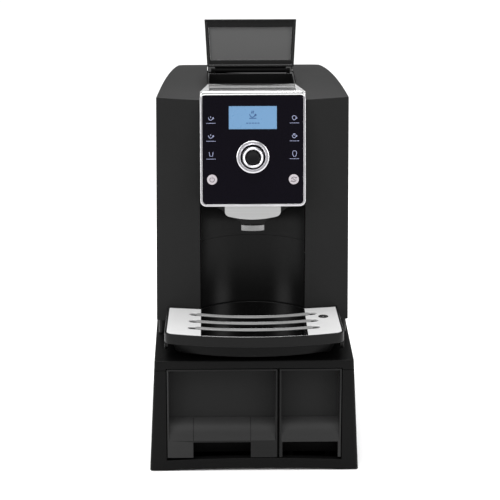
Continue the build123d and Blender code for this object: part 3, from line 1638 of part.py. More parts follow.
os.makedirs("parts", exist_ok=True)
make_cabinet_shell()
make_cabinet_floor()
make_feet()
make_platform_cover()
make_cabinet_divider()
make_drawer_front(left_front, (finger_left, finger_right), "grounds_drawer_front")
make_drawer_front(right_front, (right_front[0] + drawer_side, right_front[1] - drawer_side),
                  "waste_drawer_front")
make_drawer_bin(left_front, "grounds_drawer_bin")
make_drawer_bin(right_front, "waste_drawer_bin")
make_plinth()
make_tray_guides()
make_tray_basin()
make_drip_plate()
make_plate_rails()
make_tray_float()
make_casing(-1, "left_casing")
make_casing(1, "right_casing")
make_niche(plinth_top, niche_seam - seam / 2, "niche_lower")
make_niche(niche_seam + seam / 2, head_low_z, "niche_upper")
make_head_housing()
make_control_board()
make_panel_bezel()
make_panel_glass()
make_display()
make_panel_icons()
make_knob_bezel()
make_selector_ring()
make_ok_button()
make_round_button(-button_x, "power_button")
make_round_button(button_x, "rinse_button")
make_head_top_cover()
make_head_cheeks()
make_spout_carriage()
make_spout_cover()
make_spout_outlet()
make_bean_hopper()
make_hinge_deck()
make_hinge_pin()
make_hopper_lid()
make_lid_window()
make_side_frame(-1, "left_frame")
make_side_frame(1, "right_frame")
make_rear_panel()
make_panel_screws()
make_power_inlet()
make_rocker_switch()
make_grinder_body()
make_upper_burr()
make_lower_burr()
make_grinder_motor()
make_brew_frame()
make_brew_cylinder()
make_brew_screw()
make_brew_motor()
make_boiler()
make_pump()
make_hoses()
make_tank_shelf()
make_water_tank()
make_tank_lid()
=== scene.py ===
import bmesh
import bpy
import json
import math
from mathutils import Matrix, Vector


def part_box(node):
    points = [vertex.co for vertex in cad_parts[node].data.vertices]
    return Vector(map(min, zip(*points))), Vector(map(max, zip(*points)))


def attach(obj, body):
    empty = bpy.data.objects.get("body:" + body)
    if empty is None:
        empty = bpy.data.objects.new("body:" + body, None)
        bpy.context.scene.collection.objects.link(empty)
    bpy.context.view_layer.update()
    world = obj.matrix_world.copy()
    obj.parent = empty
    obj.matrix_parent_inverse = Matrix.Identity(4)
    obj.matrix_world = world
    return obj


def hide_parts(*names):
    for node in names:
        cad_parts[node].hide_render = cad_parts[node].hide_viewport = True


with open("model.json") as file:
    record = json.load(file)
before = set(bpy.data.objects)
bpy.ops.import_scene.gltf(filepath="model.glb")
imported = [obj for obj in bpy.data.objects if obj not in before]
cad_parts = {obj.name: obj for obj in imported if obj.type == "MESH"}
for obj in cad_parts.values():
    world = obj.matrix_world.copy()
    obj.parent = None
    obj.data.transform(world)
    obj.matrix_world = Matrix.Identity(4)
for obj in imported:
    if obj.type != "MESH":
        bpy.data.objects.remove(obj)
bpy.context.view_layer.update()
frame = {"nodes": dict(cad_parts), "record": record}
nodes = frame["nodes"]
bodyOf = {node: body for body, members in frame["record"]["behaviour"]["bodies"].items()
          for node in members}
slotOf = {part["node"]: part["material_slot"] for part in frame["record"]["subparts"]}
scene = bpy.context.scene
mm = 0.001
print("frame loaded with", len(nodes), "nodes")


def grey(level):
    return (level, level, level, 1.0)


def newTree(name, kind, inputs, outputs):
    tree = bpy.data.node_groups.new(name, kind)
    for label, socket, value in inputs:
        made = tree.interface.new_socket(label, in_out="INPUT", socket_type="NodeSocket" + socket)
        if value is not None:
            made.default_value = value
    for label, socket in outputs:
        tree.interface.new_socket(label, in_out="OUTPUT", socket_type="NodeSocket" + socket)
    return tree


def put(tree, kind, sockets=None, **settings):
    node = tree.nodes.new(kind)
    for key, value in settings.items():
        setattr(node, key, value)
    for key, value in (sockets or {}).items():
        if isinstance(value, bpy.types.NodeSocket):
            tree.links.new(value, node.inputs[key])
        else:
            node.inputs[key].default_value = value
    return node


def sumUp(tree, a, b, operation="ADD"):
    return put(tree, "ShaderNodeMath", {0: a, 1: b}, operation=operation).outputs[0]


def blendColours(tree, factor, a, b):
    mix = put(tree, "ShaderNodeMix", {"Factor": factor}, data_type="RGBA")
    for socket, value in ((mix.inputs[6], a), (mix.inputs[7], b)):
        if isinstance(value, bpy.types.NodeSocket):
            tree.links.new(value, socket)
        else:
            socket.default_value = value
    return mix.outputs[2]


finishInputs = [("Colour", "Color", grey(0.02)), ("Patch colour", "Color", grey(0.03)),
                ("Roughness", "Float", 0.5), ("Spread", "Float", 0.1),
                ("Cloud size", "Float", 9.0), ("Grain size", "Float", 1500.0)]
finishOutputs = [("Colour", "Color"), ("Roughness", "Float"), ("Height", "Float")]
effectSettings = {"speck": 0.06, "fineShare": 0.45, "broadShare": 0.55, "broadScale": 0.17,
                  "streakLow": 0.38, "streakHigh": 0.62}


def buildMouldedGrain():
    # slow clouds of tone and gloss under a fine spark-eroded grain
    tree = newTree("mouldedGrain", "ShaderNodeTree", finishInputs, finishOutputs)
    given = put(tree, "NodeGroupInput").outputs
    place = put(tree, "ShaderNodeTexCoord").outputs["Object"]
    clouds = put(tree, "ShaderNodeTexNoise", {"Vector": place, "Scale": given["Cloud size"],
                                              "Detail": 3.0, "Roughness": 0.55}).outputs["Fac"]
    grain = put(tree, "ShaderNodeTexNoise", {"Vector": place, "Scale": given["Grain size"],
                                             "Detail": 2.0, "Roughness": 0.6}).outputs["Fac"]
    shift = sumUp(tree, sumUp(tree, clouds, 0.5, "SUBTRACT"), given["Spread"], "MULTIPLY")
    speck = sumUp(tree, sumUp(tree, grain, 0.5, "SUBTRACT"), effectSettings["speck"], "MULTIPLY")
    rough = sumUp(tree, sumUp(tree, given["Roughness"], shift), speck)
    put(tree, "NodeGroupOutput",
        {"Colour": blendColours(tree, clouds, given["Colour"], given["Patch colour"]),
         "Roughness": rough, "Height": grain})
    return tree


def buildBrushedLines():
    # long streaks; the stretch vector says across which axes they repeat
    tree = newTree("brushedLines", "ShaderNodeTree",
                   finishInputs[:4] + [("Stretch", "Vector", (2.0, 900.0, 900.0))], finishOutputs)
    given = put(tree, "NodeGroupInput").outputs
    place = put(tree, "ShaderNodeTexCoord").outputs["Object"]
    drawn = put(tree, "ShaderNodeVectorMath", {0: place, 1: given["Stretch"]}, operation="MULTIPLY")
    fine = put(tree, "ShaderNodeTexNoise", {"Vector": drawn.outputs[0], "Scale": 1.0,
                                            "Detail": 3.0, "Roughness": 0.6}).outputs["Fac"]
    broad = put(tree, "ShaderNodeTexNoise",
                {"Vector": drawn.outputs[0], "Scale": effectSettings["broadScale"],
                 "Detail": 2.0}).outputs["Fac"]
    streak = sumUp(tree, sumUp(tree, fine, effectSettings["fineShare"], "MULTIPLY"),
                   sumUp(tree, broad, effectSettings["broadShare"], "MULTIPLY"))
    shift = sumUp(tree, sumUp(tree, streak, 0.5, "SUBTRACT"), given["Spread"], "MULTIPLY")
    # the streaks mix the two colours; where they lie far apart, as on the top cover, this mix is a
    # painted reflection
    sharp = put(tree, "ShaderNodeMapRange", {"Value": streak, "From Min": effectSettings["streakLow"],
                                             "From Max": effectSettings["streakHigh"]})
    put(tree, "NodeGroupOutput",
        {"Colour": blendColours(tree, sharp.outputs[0], given["Colour"], given["Patch colour"]),
         "Roughness": sumUp(tree, given["Roughness"], shift), "Height": streak})
    return tree


def buildTurnedLines():
    # rings round a leaning axis, as a lathe leaves them; Centre and Axis are in the object's frame
    tree = newTree("turnedLines", "ShaderNodeTree",
                   finishInputs[:4] + [("Centre", "Vector", (0, 0, 0)),
                                       ("Axis", "Vector", (0, -1, 0)),
                                       ("Line size", "Float", 4000.0)], finishOutputs)
    given = put(tree, "NodeGroupInput").outputs
    place = put(tree, "ShaderNodeTexCoord").outputs["Object"]
    arm = put(tree, "ShaderNodeVectorMath", {0: place, 1: given["Centre"]}, operation="SUBTRACT")
    along = put(tree, "ShaderNodeVectorMath", {0: arm.outputs[0], 1: given["Axis"]},
                operation="CROSS_PRODUCT")
    radius = put(tree, "ShaderNodeVectorMath", {0: along.outputs[0]},
                 operation="LENGTH").outputs["Value"]
    wave = put(tree, "ShaderNodeTexNoise", {"W": sumUp(tree, radius, given["Line size"], "MULTIPLY"),
                                            "Scale": 1.0, "Detail": 2.0},
               noise_dimensions="1D").outputs["Fac"]
    shift = sumUp(tree, sumUp(tree, wave, 0.5, "SUBTRACT"), given["Spread"], "MULTIPLY")
    put(tree, "NodeGroupOutput",
        {"Colour": blendColours(tree, wave, given["Colour"], given["Patch colour"]),
         "Roughness": sumUp(tree, given["Roughness"], shift), "Height": wave})
    return tree


groups = {"moulded": buildMouldedGrain(), "brushed": buildBrushedLines(),
          "turned": buildTurnedLines()}


def makeMaterial(name, look):
    material = bpy.data.materials.new(name)
    material.use_nodes = True
    tree = material.node_tree
    shader = tree.nodes["Principled BSDF"]
    effect = put(tree, "ShaderNodeGroup", node_tree=groups[look["effect"]])
    for socket, value in look["inputs"].items():
        effect.inputs[socket].default_value = value
    bump = put(tree, "ShaderNodeBump", {"Strength": look["bump"], "Distance": look["relief"] * mm,
                                        "Height": effect.outputs["Height"]})
    tree.links.new(effect.outputs["Colour"], shader.inputs["Base Color"])
    tree.links.new(effect.outputs["Roughness"], shader.inputs["Roughness"])
    tree.links.new(bump.outputs["Normal"], shader.inputs["Normal"])
    for socket, value in look["shader"].items():
        shader.inputs[socket].default_value = value
    return material


def plastic(tone, patch, roughness, spread=0.08, grain=1500.0, bump=0.12, relief=0.05, cloud=9.0,
            **shader):
    tone = grey(tone) if isinstance(tone, float) else (*tone, 1.0)
    patch = grey(patch) if isinstance(patch, float) else (*patch, 1.0)
    return {"effect": "moulded", "bump": bump, "relief": relief, "shader": shader,
            "inputs": {"Colour": tone, "Patch colour": patch, "Roughness": roughness,
                       "Spread": spread, "Cloud size": cloud, "Grain size": grain}}


def metal(tone, patch, roughness, spread=0.12, stretch=(2.0, 900.0, 900.0), bump=0.12, relief=0.02,
          **shader):
    return {"effect": "brushed", "bump": bump, "relief": relief,
            "shader": {"Metallic": 1.0, **shader},
            "inputs": {"Colour": (*tone, 1.0), "Patch colour": (*patch, 1.0), "Roughness": roughness,
                       "Spread": spread, "Stretch": stretch}}


def turned(tone, patch, roughness, centre, axis, spread=0.1, bump=0.1, relief=0.02, **shader):
    return {"effect": "turned", "bump": bump, "relief": relief,
            "shader": {"Metallic": 1.0, **shader},
            "inputs": {"Colour": (*tone, 1.0), "Patch colour": (*patch, 1.0), "Roughness": roughness,
                       "Spread": spread, "Centre": centre, "Axis": axis}}


# the panel leans back, and its face lies half its depth before the middle of the bezel's box
panelLean = math.radians(8.3)
panelDepth = 4.5 * mm
panelOut = Vector((0, -math.cos(panelLean), math.sin(panelLean)))
panelUp = Vector((0, math.sin(panelLean), math.cos(panelLean)))
bezelLow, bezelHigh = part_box("panel_bezel")
panelCentre = (bezelLow + bezelHigh) / 2 + panelOut * panelDepth / 2
panelCentre.x = 0.0


def onPanel(right, up, out=0.0):
    return panelCentre + Vector((right, 0, 0)) * mm + panelUp * up * mm + panelOut * out * mm


def panelPlace(right, up):
    place = Matrix.Identity(4)
    for column, axis in enumerate((Vector((1, 0, 0)), panelUp, panelOut, onPanel(right, up))):
        for row in range(3):
            place[row][column] = axis[row]
    return place


knobUp = -12.3
knobCentre = tuple(onPanel(0, knobUp))
silver = (0.62, 0.61, 0.63)
paleSilver = (0.72, 0.71, 0.74)

dull = {"Specular IOR Level": 0.14}
looks = {
    "casingBlack": plastic(0.0118, 0.0142, 0.47, **{"Specular IOR Level": 0.05}),
    "cabinetBlack": plastic(0.0020, 0.0028, 0.5, **{"Specular IOR Level": 0.09}),
    "drawerBlack": plastic(0.0118, 0.0138, 0.46, **{"Specular IOR Level": 0.06}),
    # a paler copy of drawerBlack: painted light on the upward-facing lip
    "lipBlackPaintedLight": plastic(0.0215, 0.0245, 0.46, **{"Specular IOR Level": 0.07}),
    "binBlack": plastic(0.0040, 0.0055, 0.55, **dull),
    # true black for some parts, and painted shade in the drawer recesses and the knob's groove
    "deepBlack": plastic(0.0008, 0.0012, 0.6, **{"Specular IOR Level": 0.05}),
    "glossBlack": plastic(0.0055, 0.0065, 0.2, 0.05, 900.0, 0.03, **{"Specular IOR Level": 0.35}),
    "headBlack": plastic(0.0020, 0.0028, 0.28, 0.05, 900.0, 0.03, **dull),
    "nicheBlack": plastic(0.0016, 0.0026, 0.3, 0.05, 900.0, 0.04, **{"Specular IOR Level": 0.12}),
    "trayBlack": plastic(0.0028, 0.0038, 0.36, **dull),
    # a darker copy of the tray's black: painted shade on the receding hull under the rim
    "hullBlackPaintedShade": plastic(0.0014, 0.0020, 0.45, **{"Specular IOR Level": 0.08}),
    "footRubber": plastic(0.006, 0.010, 0.85, grain=2600.0, bump=0.3),
    "floatBlack": plastic(0.0020, 0.0030, 0.35),
    # grey for the float's dot: a painted highlight
    "floatGrey": plastic(0.16, 0.20, 0.4),
    "panelGlass": plastic((0.0021, 0.0016, 0.0034), (0.0024, 0.0018, 0.0040), 0.1, 0.03, 500.0, 0.01,
                          **{"Specular IOR Level": 0.14}),
    "displayBlue": plastic((0.100, 0.200, 0.335), (0.112, 0.214, 0.350), 0.28, 0.05, 300.0, 0.0,
                           **{"Emission Color": (0.22, 0.46, 0.78, 1.0), "Emission Strength": 0.06}),
    "displayInk": plastic((0.012, 0.045, 0.14), (0.016, 0.055, 0.16), 0.4, 0.05),
    "printGrey": plastic((0.26, 0.28, 0.42), (0.29, 0.31, 0.45), 0.45, 0.05, 800.0, 0.02),
    "symbolGrey": plastic((0.035, 0.028, 0.035), (0.045, 0.035, 0.045), 0.5, 0.05, 800.0, 0.02),
    "buttonWhite": plastic((0.38, 0.35, 0.37), (0.41, 0.38, 0.40), 0.35, 0.06, 1200.0, 0.03),
    "smokedWindow": plastic(0.075, 0.085, 0.3, 0.05, 900.0, 0.02, Alpha=0.93),
    "boardGreen": plastic((0.01, 0.09, 0.04), (0.015, 0.12, 0.05), 0.4),
    "innerGrey": plastic(0.11, 0.14, 0.5),
    "motorCan": plastic(0.16, 0.22, 0.35, **{"Metallic": 0.9}),
    "hoseSilicone": plastic((0.66, 0.66, 0.62), (0.72, 0.72, 0.68), 0.45),
    "tankClear": plastic((0.62, 0.70, 0.76), (0.66, 0.74, 0.80), 0.12, 0.05, 700.0, 0.02,
                         Alpha=0.42),
    "bezelSilver": metal(silver, (0.68, 0.67, 0.69), 0.3, 0.08, (300.0, 300.0, 4.0), 0.05),
    "cheekSilver": metal((0.50, 0.50, 0.50), (0.56, 0.56, 0.56), 0.38, 0.1,
                         (3.0, 700.0, 700.0), 0.05),
    "spoutSilver": metal((0.35, 0.35, 0.35), (0.40, 0.40, 0.40), 0.38, 0.1,
                         (3.0, 700.0, 700.0), 0.05),
    "outletGrey": metal((0.20, 0.20, 0.20), (0.24, 0.24, 0.24), 0.42, 0.1,
                        (3.0, 700.0, 700.0), 0.05),
    # top cover: its tone swings between dark and near white along broad brushing streaks, a painted
    # reflection of the lamps laid over the real brushed grain
    "topSteel": metal((0.20, 0.20, 0.20), (0.95, 0.95, 0.95), 0.27, 0.3, (3.0, 300.0, 300.0), 0.25),
    "edgeSteel": metal((0.66, 0.66, 0.66), (0.74, 0.74, 0.74), 0.26, 0.08,
                       (3.0, 500.0, 500.0), 0.05),
    "traySatin": plastic(0.60, 0.66, 0.45, 0.1, 1800.0, 0.06, **{"Metallic": 0.25}),
    "trayMirror": metal((0.34, 0.34, 0.34), (0.38, 0.38, 0.38), 0.10, 0.03,
                        (4.0, 500.0, 500.0), 0.02),
    "railSteel": plastic(0.26, 0.31, 0.4, 0.1, 1800.0, 0.05, **{"Metallic": 0.3}),
    "steel": metal((0.5, 0.5, 0.5), (0.58, 0.58, 0.58), 0.3, 0.1, (700.0, 700.0, 20.0), 0.08),
    "zincSheet": metal((0.40, 0.41, 0.42), (0.50, 0.51, 0.52), 0.42, 0.2, (40.0, 40.0, 60.0), 0.05),
    "knobRing": turned(paleSilver, (0.66, 0.65, 0.68), 0.28, knobCentre, tuple(panelOut)),
    "knobButton": turned((0.0020, 0.0020, 0.0026), (0.0070, 0.0070, 0.0085), 0.3, knobCentre,
                         tuple(panelOut), 0.15, 0.5, 0.05,
                         **{"Metallic": 0.0, "Specular IOR Level": 0.2}),
    "burrSteel": turned((0.5, 0.5, 0.52), (0.6, 0.6, 0.62), 0.3, (0, 0.045, 0), (0, 0, 1)),
}
finish = {name: makeMaterial(name, look) for name, look in looks.items()}

slotFinish = {
    "casing_black": "casingBlack", "cabinet_black": "cabinetBlack", "drawer_black": "drawerBlack",
    "bin_black": "binBlack", "gloss_black": "glossBlack", "tray_black": "trayBlack",
    "foot_rubber": "footRubber", "tray_steel": "traySatin", "float_red": "floatBlack",
    "bezel_silver": "bezelSilver", "panel_black": "panelGlass", "display_blue": "displayBlue",
    "print_grey": "printGrey", "button_white": "buttonWhite", "top_steel": "topSteel",
    "spout_silver": "spoutSilver", "smoked_window": "smokedWindow", "steel": "steel",
    "zinc_sheet": "zincSheet", "motor_can": "motorCan", "board_green": "boardGreen",
    "inner_grey": "innerGrey", "hose_silicone": "hoseSilicone", "tank_clear": "tankClear",
    "burr_steel": "burrSteel",
}
nodeFinish = {  # where a node's finish differs from its slot's
    "tray_float": "deepBlack", "niche_lower": "nicheBlack", "niche_upper": "nicheBlack",
    "head_housing": "headBlack", "spout_carriage": "headBlack", "head_cheeks": "cheekSilver",
    "spout_outlet": "outletGrey", "cabinet_floor": "deepBlack", "cabinet_divider": "deepBlack",
    "lid_hinge_pin": "binBlack",
}


def paintNodes():
    for name, node in nodes.items():
        chosen = finish[nodeFinish.get(name, slotFinish[slotOf[name]])]
        for slot in node.material_slots:
            slot.material = chosen


paintNodes()
print("finishes made:", len(finish))


def newPiece(name, mesh, material, body, slot, *replaced):
    piece = bpy.data.objects.new(name, mesh)
    scene.collection.objects.link(piece)
    for one in (material if isinstance(material, tuple) else (material,)):
        mesh.materials.append(finish[one])
    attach(piece, body)
    if replaced:
        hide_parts(*replaced)
    return piece


def workFrom(node):
    # a merged copy of a node's loose triangles, with flat areas joined up again
    source = nodes[node].data
    mesh = bpy.data.meshes.new(node)
    mesh.from_pydata([v.co for v in source.vertices], [], [p.vertices[:] for p in source.polygons])
    work = bmesh.new()
    work.from_mesh(mesh)
    bpy.data.meshes.remove(mesh)
    bmesh.ops.remove_doubles(work, verts=work.verts, dist=2e-6)
    bmesh.ops.dissolve_limit(work, angle_limit=math.radians(0.4), verts=work.verts, edges=work.edges)
    return work


edgeSettings = {"sharpAngle": 32.0, "grownAngle": 35.0, "segments": 3}


def shaded(work, name):
    mesh = bpy.data.meshes.new(name)
    work.to_mesh(mesh)
    work.free()
    mesh.polygons.foreach_set("use_smooth", [True] * len(mesh.polygons))
    mesh.set_sharp_from_angle(angle=math.radians(edgeSettings["sharpAngle"]))
    return mesh


def addBevel(piece, width, segments=edgeSettings["segments"]):
    bevel = piece.modifiers.new("roundedEdges", "BEVEL")
    bevel.width = width * mm
    bevel.segments = segments
    bevel.limit_method = "ANGLE"
    bevel.angle_limit = math.radians(edgeSettings["sharpAngle"])
    bevel.use_clamp_overlap = False
    bevel.harden_normals = True
    return piece


def softCopy(name, node, width, material=None):
    # the node again with its edges rounded
    mesh = shaded(workFrom(node), name)
    chosen = material or nodeFinish.get(node, slotFinish[slotOf[node]])
    piece = newPiece(name, mesh, chosen, bodyOf[node], slotOf[node], node)
    return addBevel(piece, width)


roundedNodes = {  # piece: node and edge radius in millimetres
    "cabinetShell": ("cabinet_shell", 1.2), "platformCover": ("platform_cover", 1.0),
    "leftCasing": ("left_casing", 1.1), "rightCasing": ("right_casing", 1.1),
    "rearPanel": ("rear_panel", 0.5), "tankLid": ("tank_lid", 1.2),
    "groundsBin": ("grounds_drawer_bin", 0.7), "wasteBin": ("waste_drawer_bin", 0.7),
    "headCheeks": ("head_cheeks", 0.6), "headHousing": ("head_housing", 0.6),
    "plinthBase": ("plinth", 0.8), "spoutCarriage": ("spout_carriage", 0.8),
    "spoutOutlet": ("spout_outlet", 0.5), "beanHopper": ("bean_hopper", 0.5),
    "lidWindow": ("lid_window", 0.3), "trayGuides": ("tray_guides", 0.8),
    "cabinetFloor": ("cabinet_floor", 0.4),
    "waterTank": ("water_tank", 0.6), "tankShelf": ("tank_shelf", 0.4),
    "brewFrame": ("brew_frame", 0.6), "brewCylinder": ("brew_cylinder", 0.6),
    "grinderBody": ("grinder_body", 0.8), "grinderMotor": ("grinder_motor", 0.6),
    "brewMotor": ("brew_motor", 0.6), "pumpBody": ("pump", 0.8), "powerInlet": ("power_inlet", 0.4),
    "rockerSwitch": ("rocker_switch", 0.4),
}
for name, (node, width) in roundedNodes.items():
    softCopy(name, node, width)
print("rounded pieces:", len(roundedNodes))


traySettings = {"mirrorHalf": 83.0, "edge": 1.6, "plateEdge": 0.35, "rimDepth": 17.3}


def paintFaces(mesh, test):
    for face in mesh.polygons:
        face.material_index = 1 if test(face.center / mm) else 0


def buildTray():
    # the hull under the rim is rougher than the rim, and its darker colour is painted shade on the
    # receding hull
    basin = newPiece("trayBasin", shaded(workFrom("tray_basin"), "trayBasin"),
                     ("trayBlack", "hullBlackPaintedShade"), "tray", "tray_black", "tray_basin")
    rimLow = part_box("tray_basin")[1].z / mm - traySettings["rimDepth"]
    paintFaces(basin.data, lambda spot: spot.z < rimLow)
    addBevel(basin, traySettings["edge"])
    # satin ends with a polished middle
    work = workFrom("drip_plate")
    for x in (-traySettings["mirrorHalf"], traySettings["mirrorHalf"]):
        bmesh.ops.bisect_plane(work, geom=work.verts[:] + work.edges[:] + work.faces[:], dist=1e-6,
                               plane_co=(x * mm, 0, 0), plane_no=(1, 0, 0))
    plate = newPiece("dripPlate", shaded(work, "dripPlate"), ("traySatin", "trayMirror"), "grille",
                     "tray_steel", "drip_plate")
    paintFaces(plate.data, lambda spot: abs(spot.x) < traySettings["mirrorHalf"])
    addBevel(plate, traySettings["plateEdge"], 2)


buildTray()


frontSettings = {"edge": 0.7, "recessTop": 50.7, "recessStart": 3.0, "recessRim": 1.0,
                 "lipTop": 81.2, "rim": 3.2}


def buildFronts():
    # the finger recess behind each lip is painted near black, a painted shade in the recess, and the
    # lip is painted paler than the face, a painted highlight of light falling on it from above
    for name, node in (("groundsFront", "grounds_drawer_front"),
                       ("wasteFront", "waste_drawer_front")):
        front = softCopy(name, node, frontSettings["edge"], ("drawerBlack", "deepBlack", "lipBlackPaintedLight"))
        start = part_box(node)[0].y / mm + frontSettings["recessStart"]
        west, east = (corner.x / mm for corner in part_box(node))
        rim, inner = frontSettings["rim"], frontSettings["recessRim"]
        for face in front.data.polygons:
            spot = face.center / mm
            low = spot.z < frontSettings["recessTop"]
            if low and spot.y > start and west + inner < spot.x < east - inner:
                # painted shade in the finger recess
                face.material_index = 1
            elif spot.z < frontSettings["lipTop"] and (low or west + rim < spot.x < east - rim):
                # painted highlight on the lip
                face.material_index = 2


buildFronts()


railSettings = {"shorter": 0.945, "edge": 0.5}


def buildRails():
    # bars end short of their slots, whose dark ends show
    work = workFrom("plate_rails")
    for corner in work.verts:
        corner.co.x *= railSettings["shorter"]
    rails = newPiece("plateRails", shaded(work, "plateRails"), "railSteel", "grille",
                     slotOf["plate_rails"], "plate_rails")
    addBevel(rails, railSettings["edge"])


buildRails()


lidSettings = {"lidEdge": 0.7, "deckEdge": 0.6, "hingeReach": 7.0}


def buildLid():
    # the hinge barrel and its knuckles are matt
    low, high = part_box("lid_hinge_pin")
    axis = (low + high) / 2 / mm
    for name, node, edge in (("hopperLid", "hopper_lid", "lidEdge"),
                             ("hingeDeck", "hinge_deck", "deckEdge")):
        part = softCopy(name, node, lidSettings[edge], ("glossBlack", "deepBlack"))
        paintFaces(part.data, lambda spot: math.hypot(spot.y - axis.y, spot.z - axis.z)
                   < lidSettings["hingeReach"])


buildLid()


def lathe(profile, place, steps=72):
    # radius and height pairs in millimetres, turned round the place's third axis
    work = bmesh.new()
    rings = []
    for radius, height in profile:
        ring = []
        for step in range(steps if radius else 1):
            angle = 2 * math.pi * step / steps
            spot = Vector((radius * math.cos(angle), radius * math.sin(angle), height)) * mm
            ring.append(work.verts.new(place @ spot))
        rings.append(ring)
    for low, high in zip(rings, rings[1:]):
        for step in range(steps):
            after = (step + 1) % steps
            corners = [low[step % len(low)], low[after % len(low)], high[after % len(high)],
                       high[step % len(high)]]
            work.faces.new(list(dict.fromkeys(corners)))
    return work


def closedLathe(profile, place, steps=72):
    # the same with its last ring joined to its first
    work = lathe(profile + profile[:1], place, steps)
    bmesh.ops.remove_doubles(work, verts=work.verts, dist=1e-7)
    bmesh.ops.recalc_face_normals(work, faces=work.faces)
    return work


knobSettings = {  # radius and height over the panel, in millimetres
    "ring": [(20.0, -3.9), (25.6, -3.9), (25.6, 0.2), (25.3, 0.9), (24.6, 1.35), (23.4, 1.5),
             (21.8, 1.5), (20.6, 1.3), (19.9, 0.8), (19.65, 0.1), (19.6, -2.9), (4.6, -2.9),
             (4.6, -3.9)],
    "grooveShadeRadius": 19.7,
    "dial": [(11.2, -2.0), (17.6, -2.0), (17.3, -1.0), (16.9, 2.0), (16.7, 6.0), (16.5, 9.6),
             (16.1, 11.2), (15.4, 12.1), (14.5, 12.5), (13.5, 12.2), (12.7, 11.4), (12.1, 10.2),
             (11.6, 8.6), (11.3, 6.2), (11.2, 3.0)],
    "button": [(0, 4.0), (10.7, 4.0), (10.75, 8.6), (10.5, 9.4), (9.9, 9.9), (9.0, 10.0),
               (7.6, 9.75), (5.0, 9.45), (2.5, 9.3), (0, 9.25)],
}


def buildKnob():
    place = panelPlace(0, knobUp)
    ring = newPiece("knobRing", shaded(closedLathe(knobSettings["ring"], place), "knobRing"),
                    ("knobRing", "deepBlack"), "machine", "bezel_silver", "knob_bezel")
    # the dish inside the groove is painted near black: painted shade between the ring and the dial
    for face in ring.data.polygons:
        inside = place.inverted() @ face.center / mm
        away = math.hypot(inside.x, inside.y)
        face.material_index = 1 if away < knobSettings["grooveShadeRadius"] else 0
    newPiece("selectorDial", shaded(closedLathe(knobSettings["dial"], place), "selectorDial"),
             "knobRing", "selector", "bezel_silver", "selector_ring")
    work = lathe(knobSettings["button"], place)
    bmesh.ops.recalc_face_normals(work, faces=work.faces)
    newPiece("okCap", shaded(work, "okCap"), "knobButton", "ok", "gloss_black", "ok_button")


floatSettings = {  # radius and height, in millimetres
    "ring": [(5.8, -0.6), (8.0, -0.6), (8.0, 0.15), (7.8, 0.4), (6.2, 0.45), (5.85, 0.2)],
    "dot": [(0, 0.02), (1.4, 0.02), (1.4, 0.25), (1.0, 0.5), (0, 0.55)],
}


def buildFloatTrim():
    low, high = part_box("tray_float")
    middle = (low + high) / 2
    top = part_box("drip_plate")[1].z
    newPiece("floatRing", shaded(closedLathe(floatSettings["ring"], Matrix.Translation(
        (middle.x, middle.y, top)), 48), "floatRing"), "floatBlack", "grille", "tray_black")
    # the grey dot on the float's top is a painted highlight, standing in for a glint on its dimple
    work = lathe(floatSettings["dot"], Matrix.Translation((middle.x, middle.y, high.z)), 32)
    bmesh.ops.recalc_face_normals(work, faces=work.faces)
    newPiece("floatPaintedGlintDot", shaded(work, "floatPaintedGlintDot"), "floatGrey", "float", "float_red")


buildFloatTrim()


def ribbon(work, points, width, place, rise):
    # a flat stroke of even width along points given in millimetres
    spots = [Vector(point) for point in points]
    lift = Vector((0, 0, rise))
    sides = []
    for before, spot, after in zip(spots[:1] + spots, spots, spots[1:] + spots[-1:]):
        along = (after - before).normalized()
        across = Vector((-along.y, along.x)) * width / 2
        sides.append([work.verts.new(place @ (((spot + way * across).to_3d() + lift) * mm))
                      for way in (-1, 1)])
    for low, high in zip(sides, sides[1:]):
        work.faces.new((low[0], high[0], high[1], low[1]))


def arcPoints(right, up, width, height, start, end, steps):
    points = []
    for step in range(steps + 1):
        angle = math.radians(start + (end - start) * step / steps)
        points.append((right + width * math.cos(angle), up + height * math.sin(angle)))
    return points


def drawStrokes(name, strokes, place, width, height, material, body, slot, *replaced):
    # each stroke is a thin solid, its foot at the given height over the panel
    work = bmesh.new()
    for points in strokes:
        ribbon(work, points, width, place, height)
    bmesh.ops.recalc_face_normals(work, faces=work.faces)
    out = place.to_3x3() @ Vector((0, 0, 1))
    for face in work.faces:
        if face.normal.dot(out) < 0:
            face.normal_flip()
    made = bmesh.ops.extrude_face_region(work, geom=work.faces[:])
    moved = [part for part in made["geom"] if isinstance(part, bmesh.types.BMVert)]
    bmesh.ops.translate(work, verts=moved, vec=out * iconSettings["strokeHeight"] * mm)
    bmesh.ops.recalc_face_normals(work, faces=work.faces)
    return newPiece(name, shaded(work, name), material, body, slot, *replaced)


iconSettings = {"across": 65.2, "rows": (48.4, 20.3, -7.7), "stroke": 0.8, "capWidth": 15.0,
                "capDrop": 7.6, "capPieces": 7, "capGap": 0.55,
                "printDepth": -0.5, "strokeHeight": 0.12}


def bowl(right, up, width, height):
    # a round-bottomed cup with its handle on the right
    left = right - 0.6
    return [arcPoints(left, up + height, width, height * 1.9, 180, 360, 16),
            arcPoints(left + width, up + height * 0.45, width * 0.42, height * 0.5, -100, 90, 8)]


def captionDashes(right, up):
    pieces, gap = iconSettings["capPieces"], iconSettings["capGap"]
    step = iconSettings["capWidth"] / pieces
    left = right - iconSettings["capWidth"] / 2
    return [[(left + step * index, up), (left + step * (index + 1) - gap, up)]
            for index in range(pieces)]


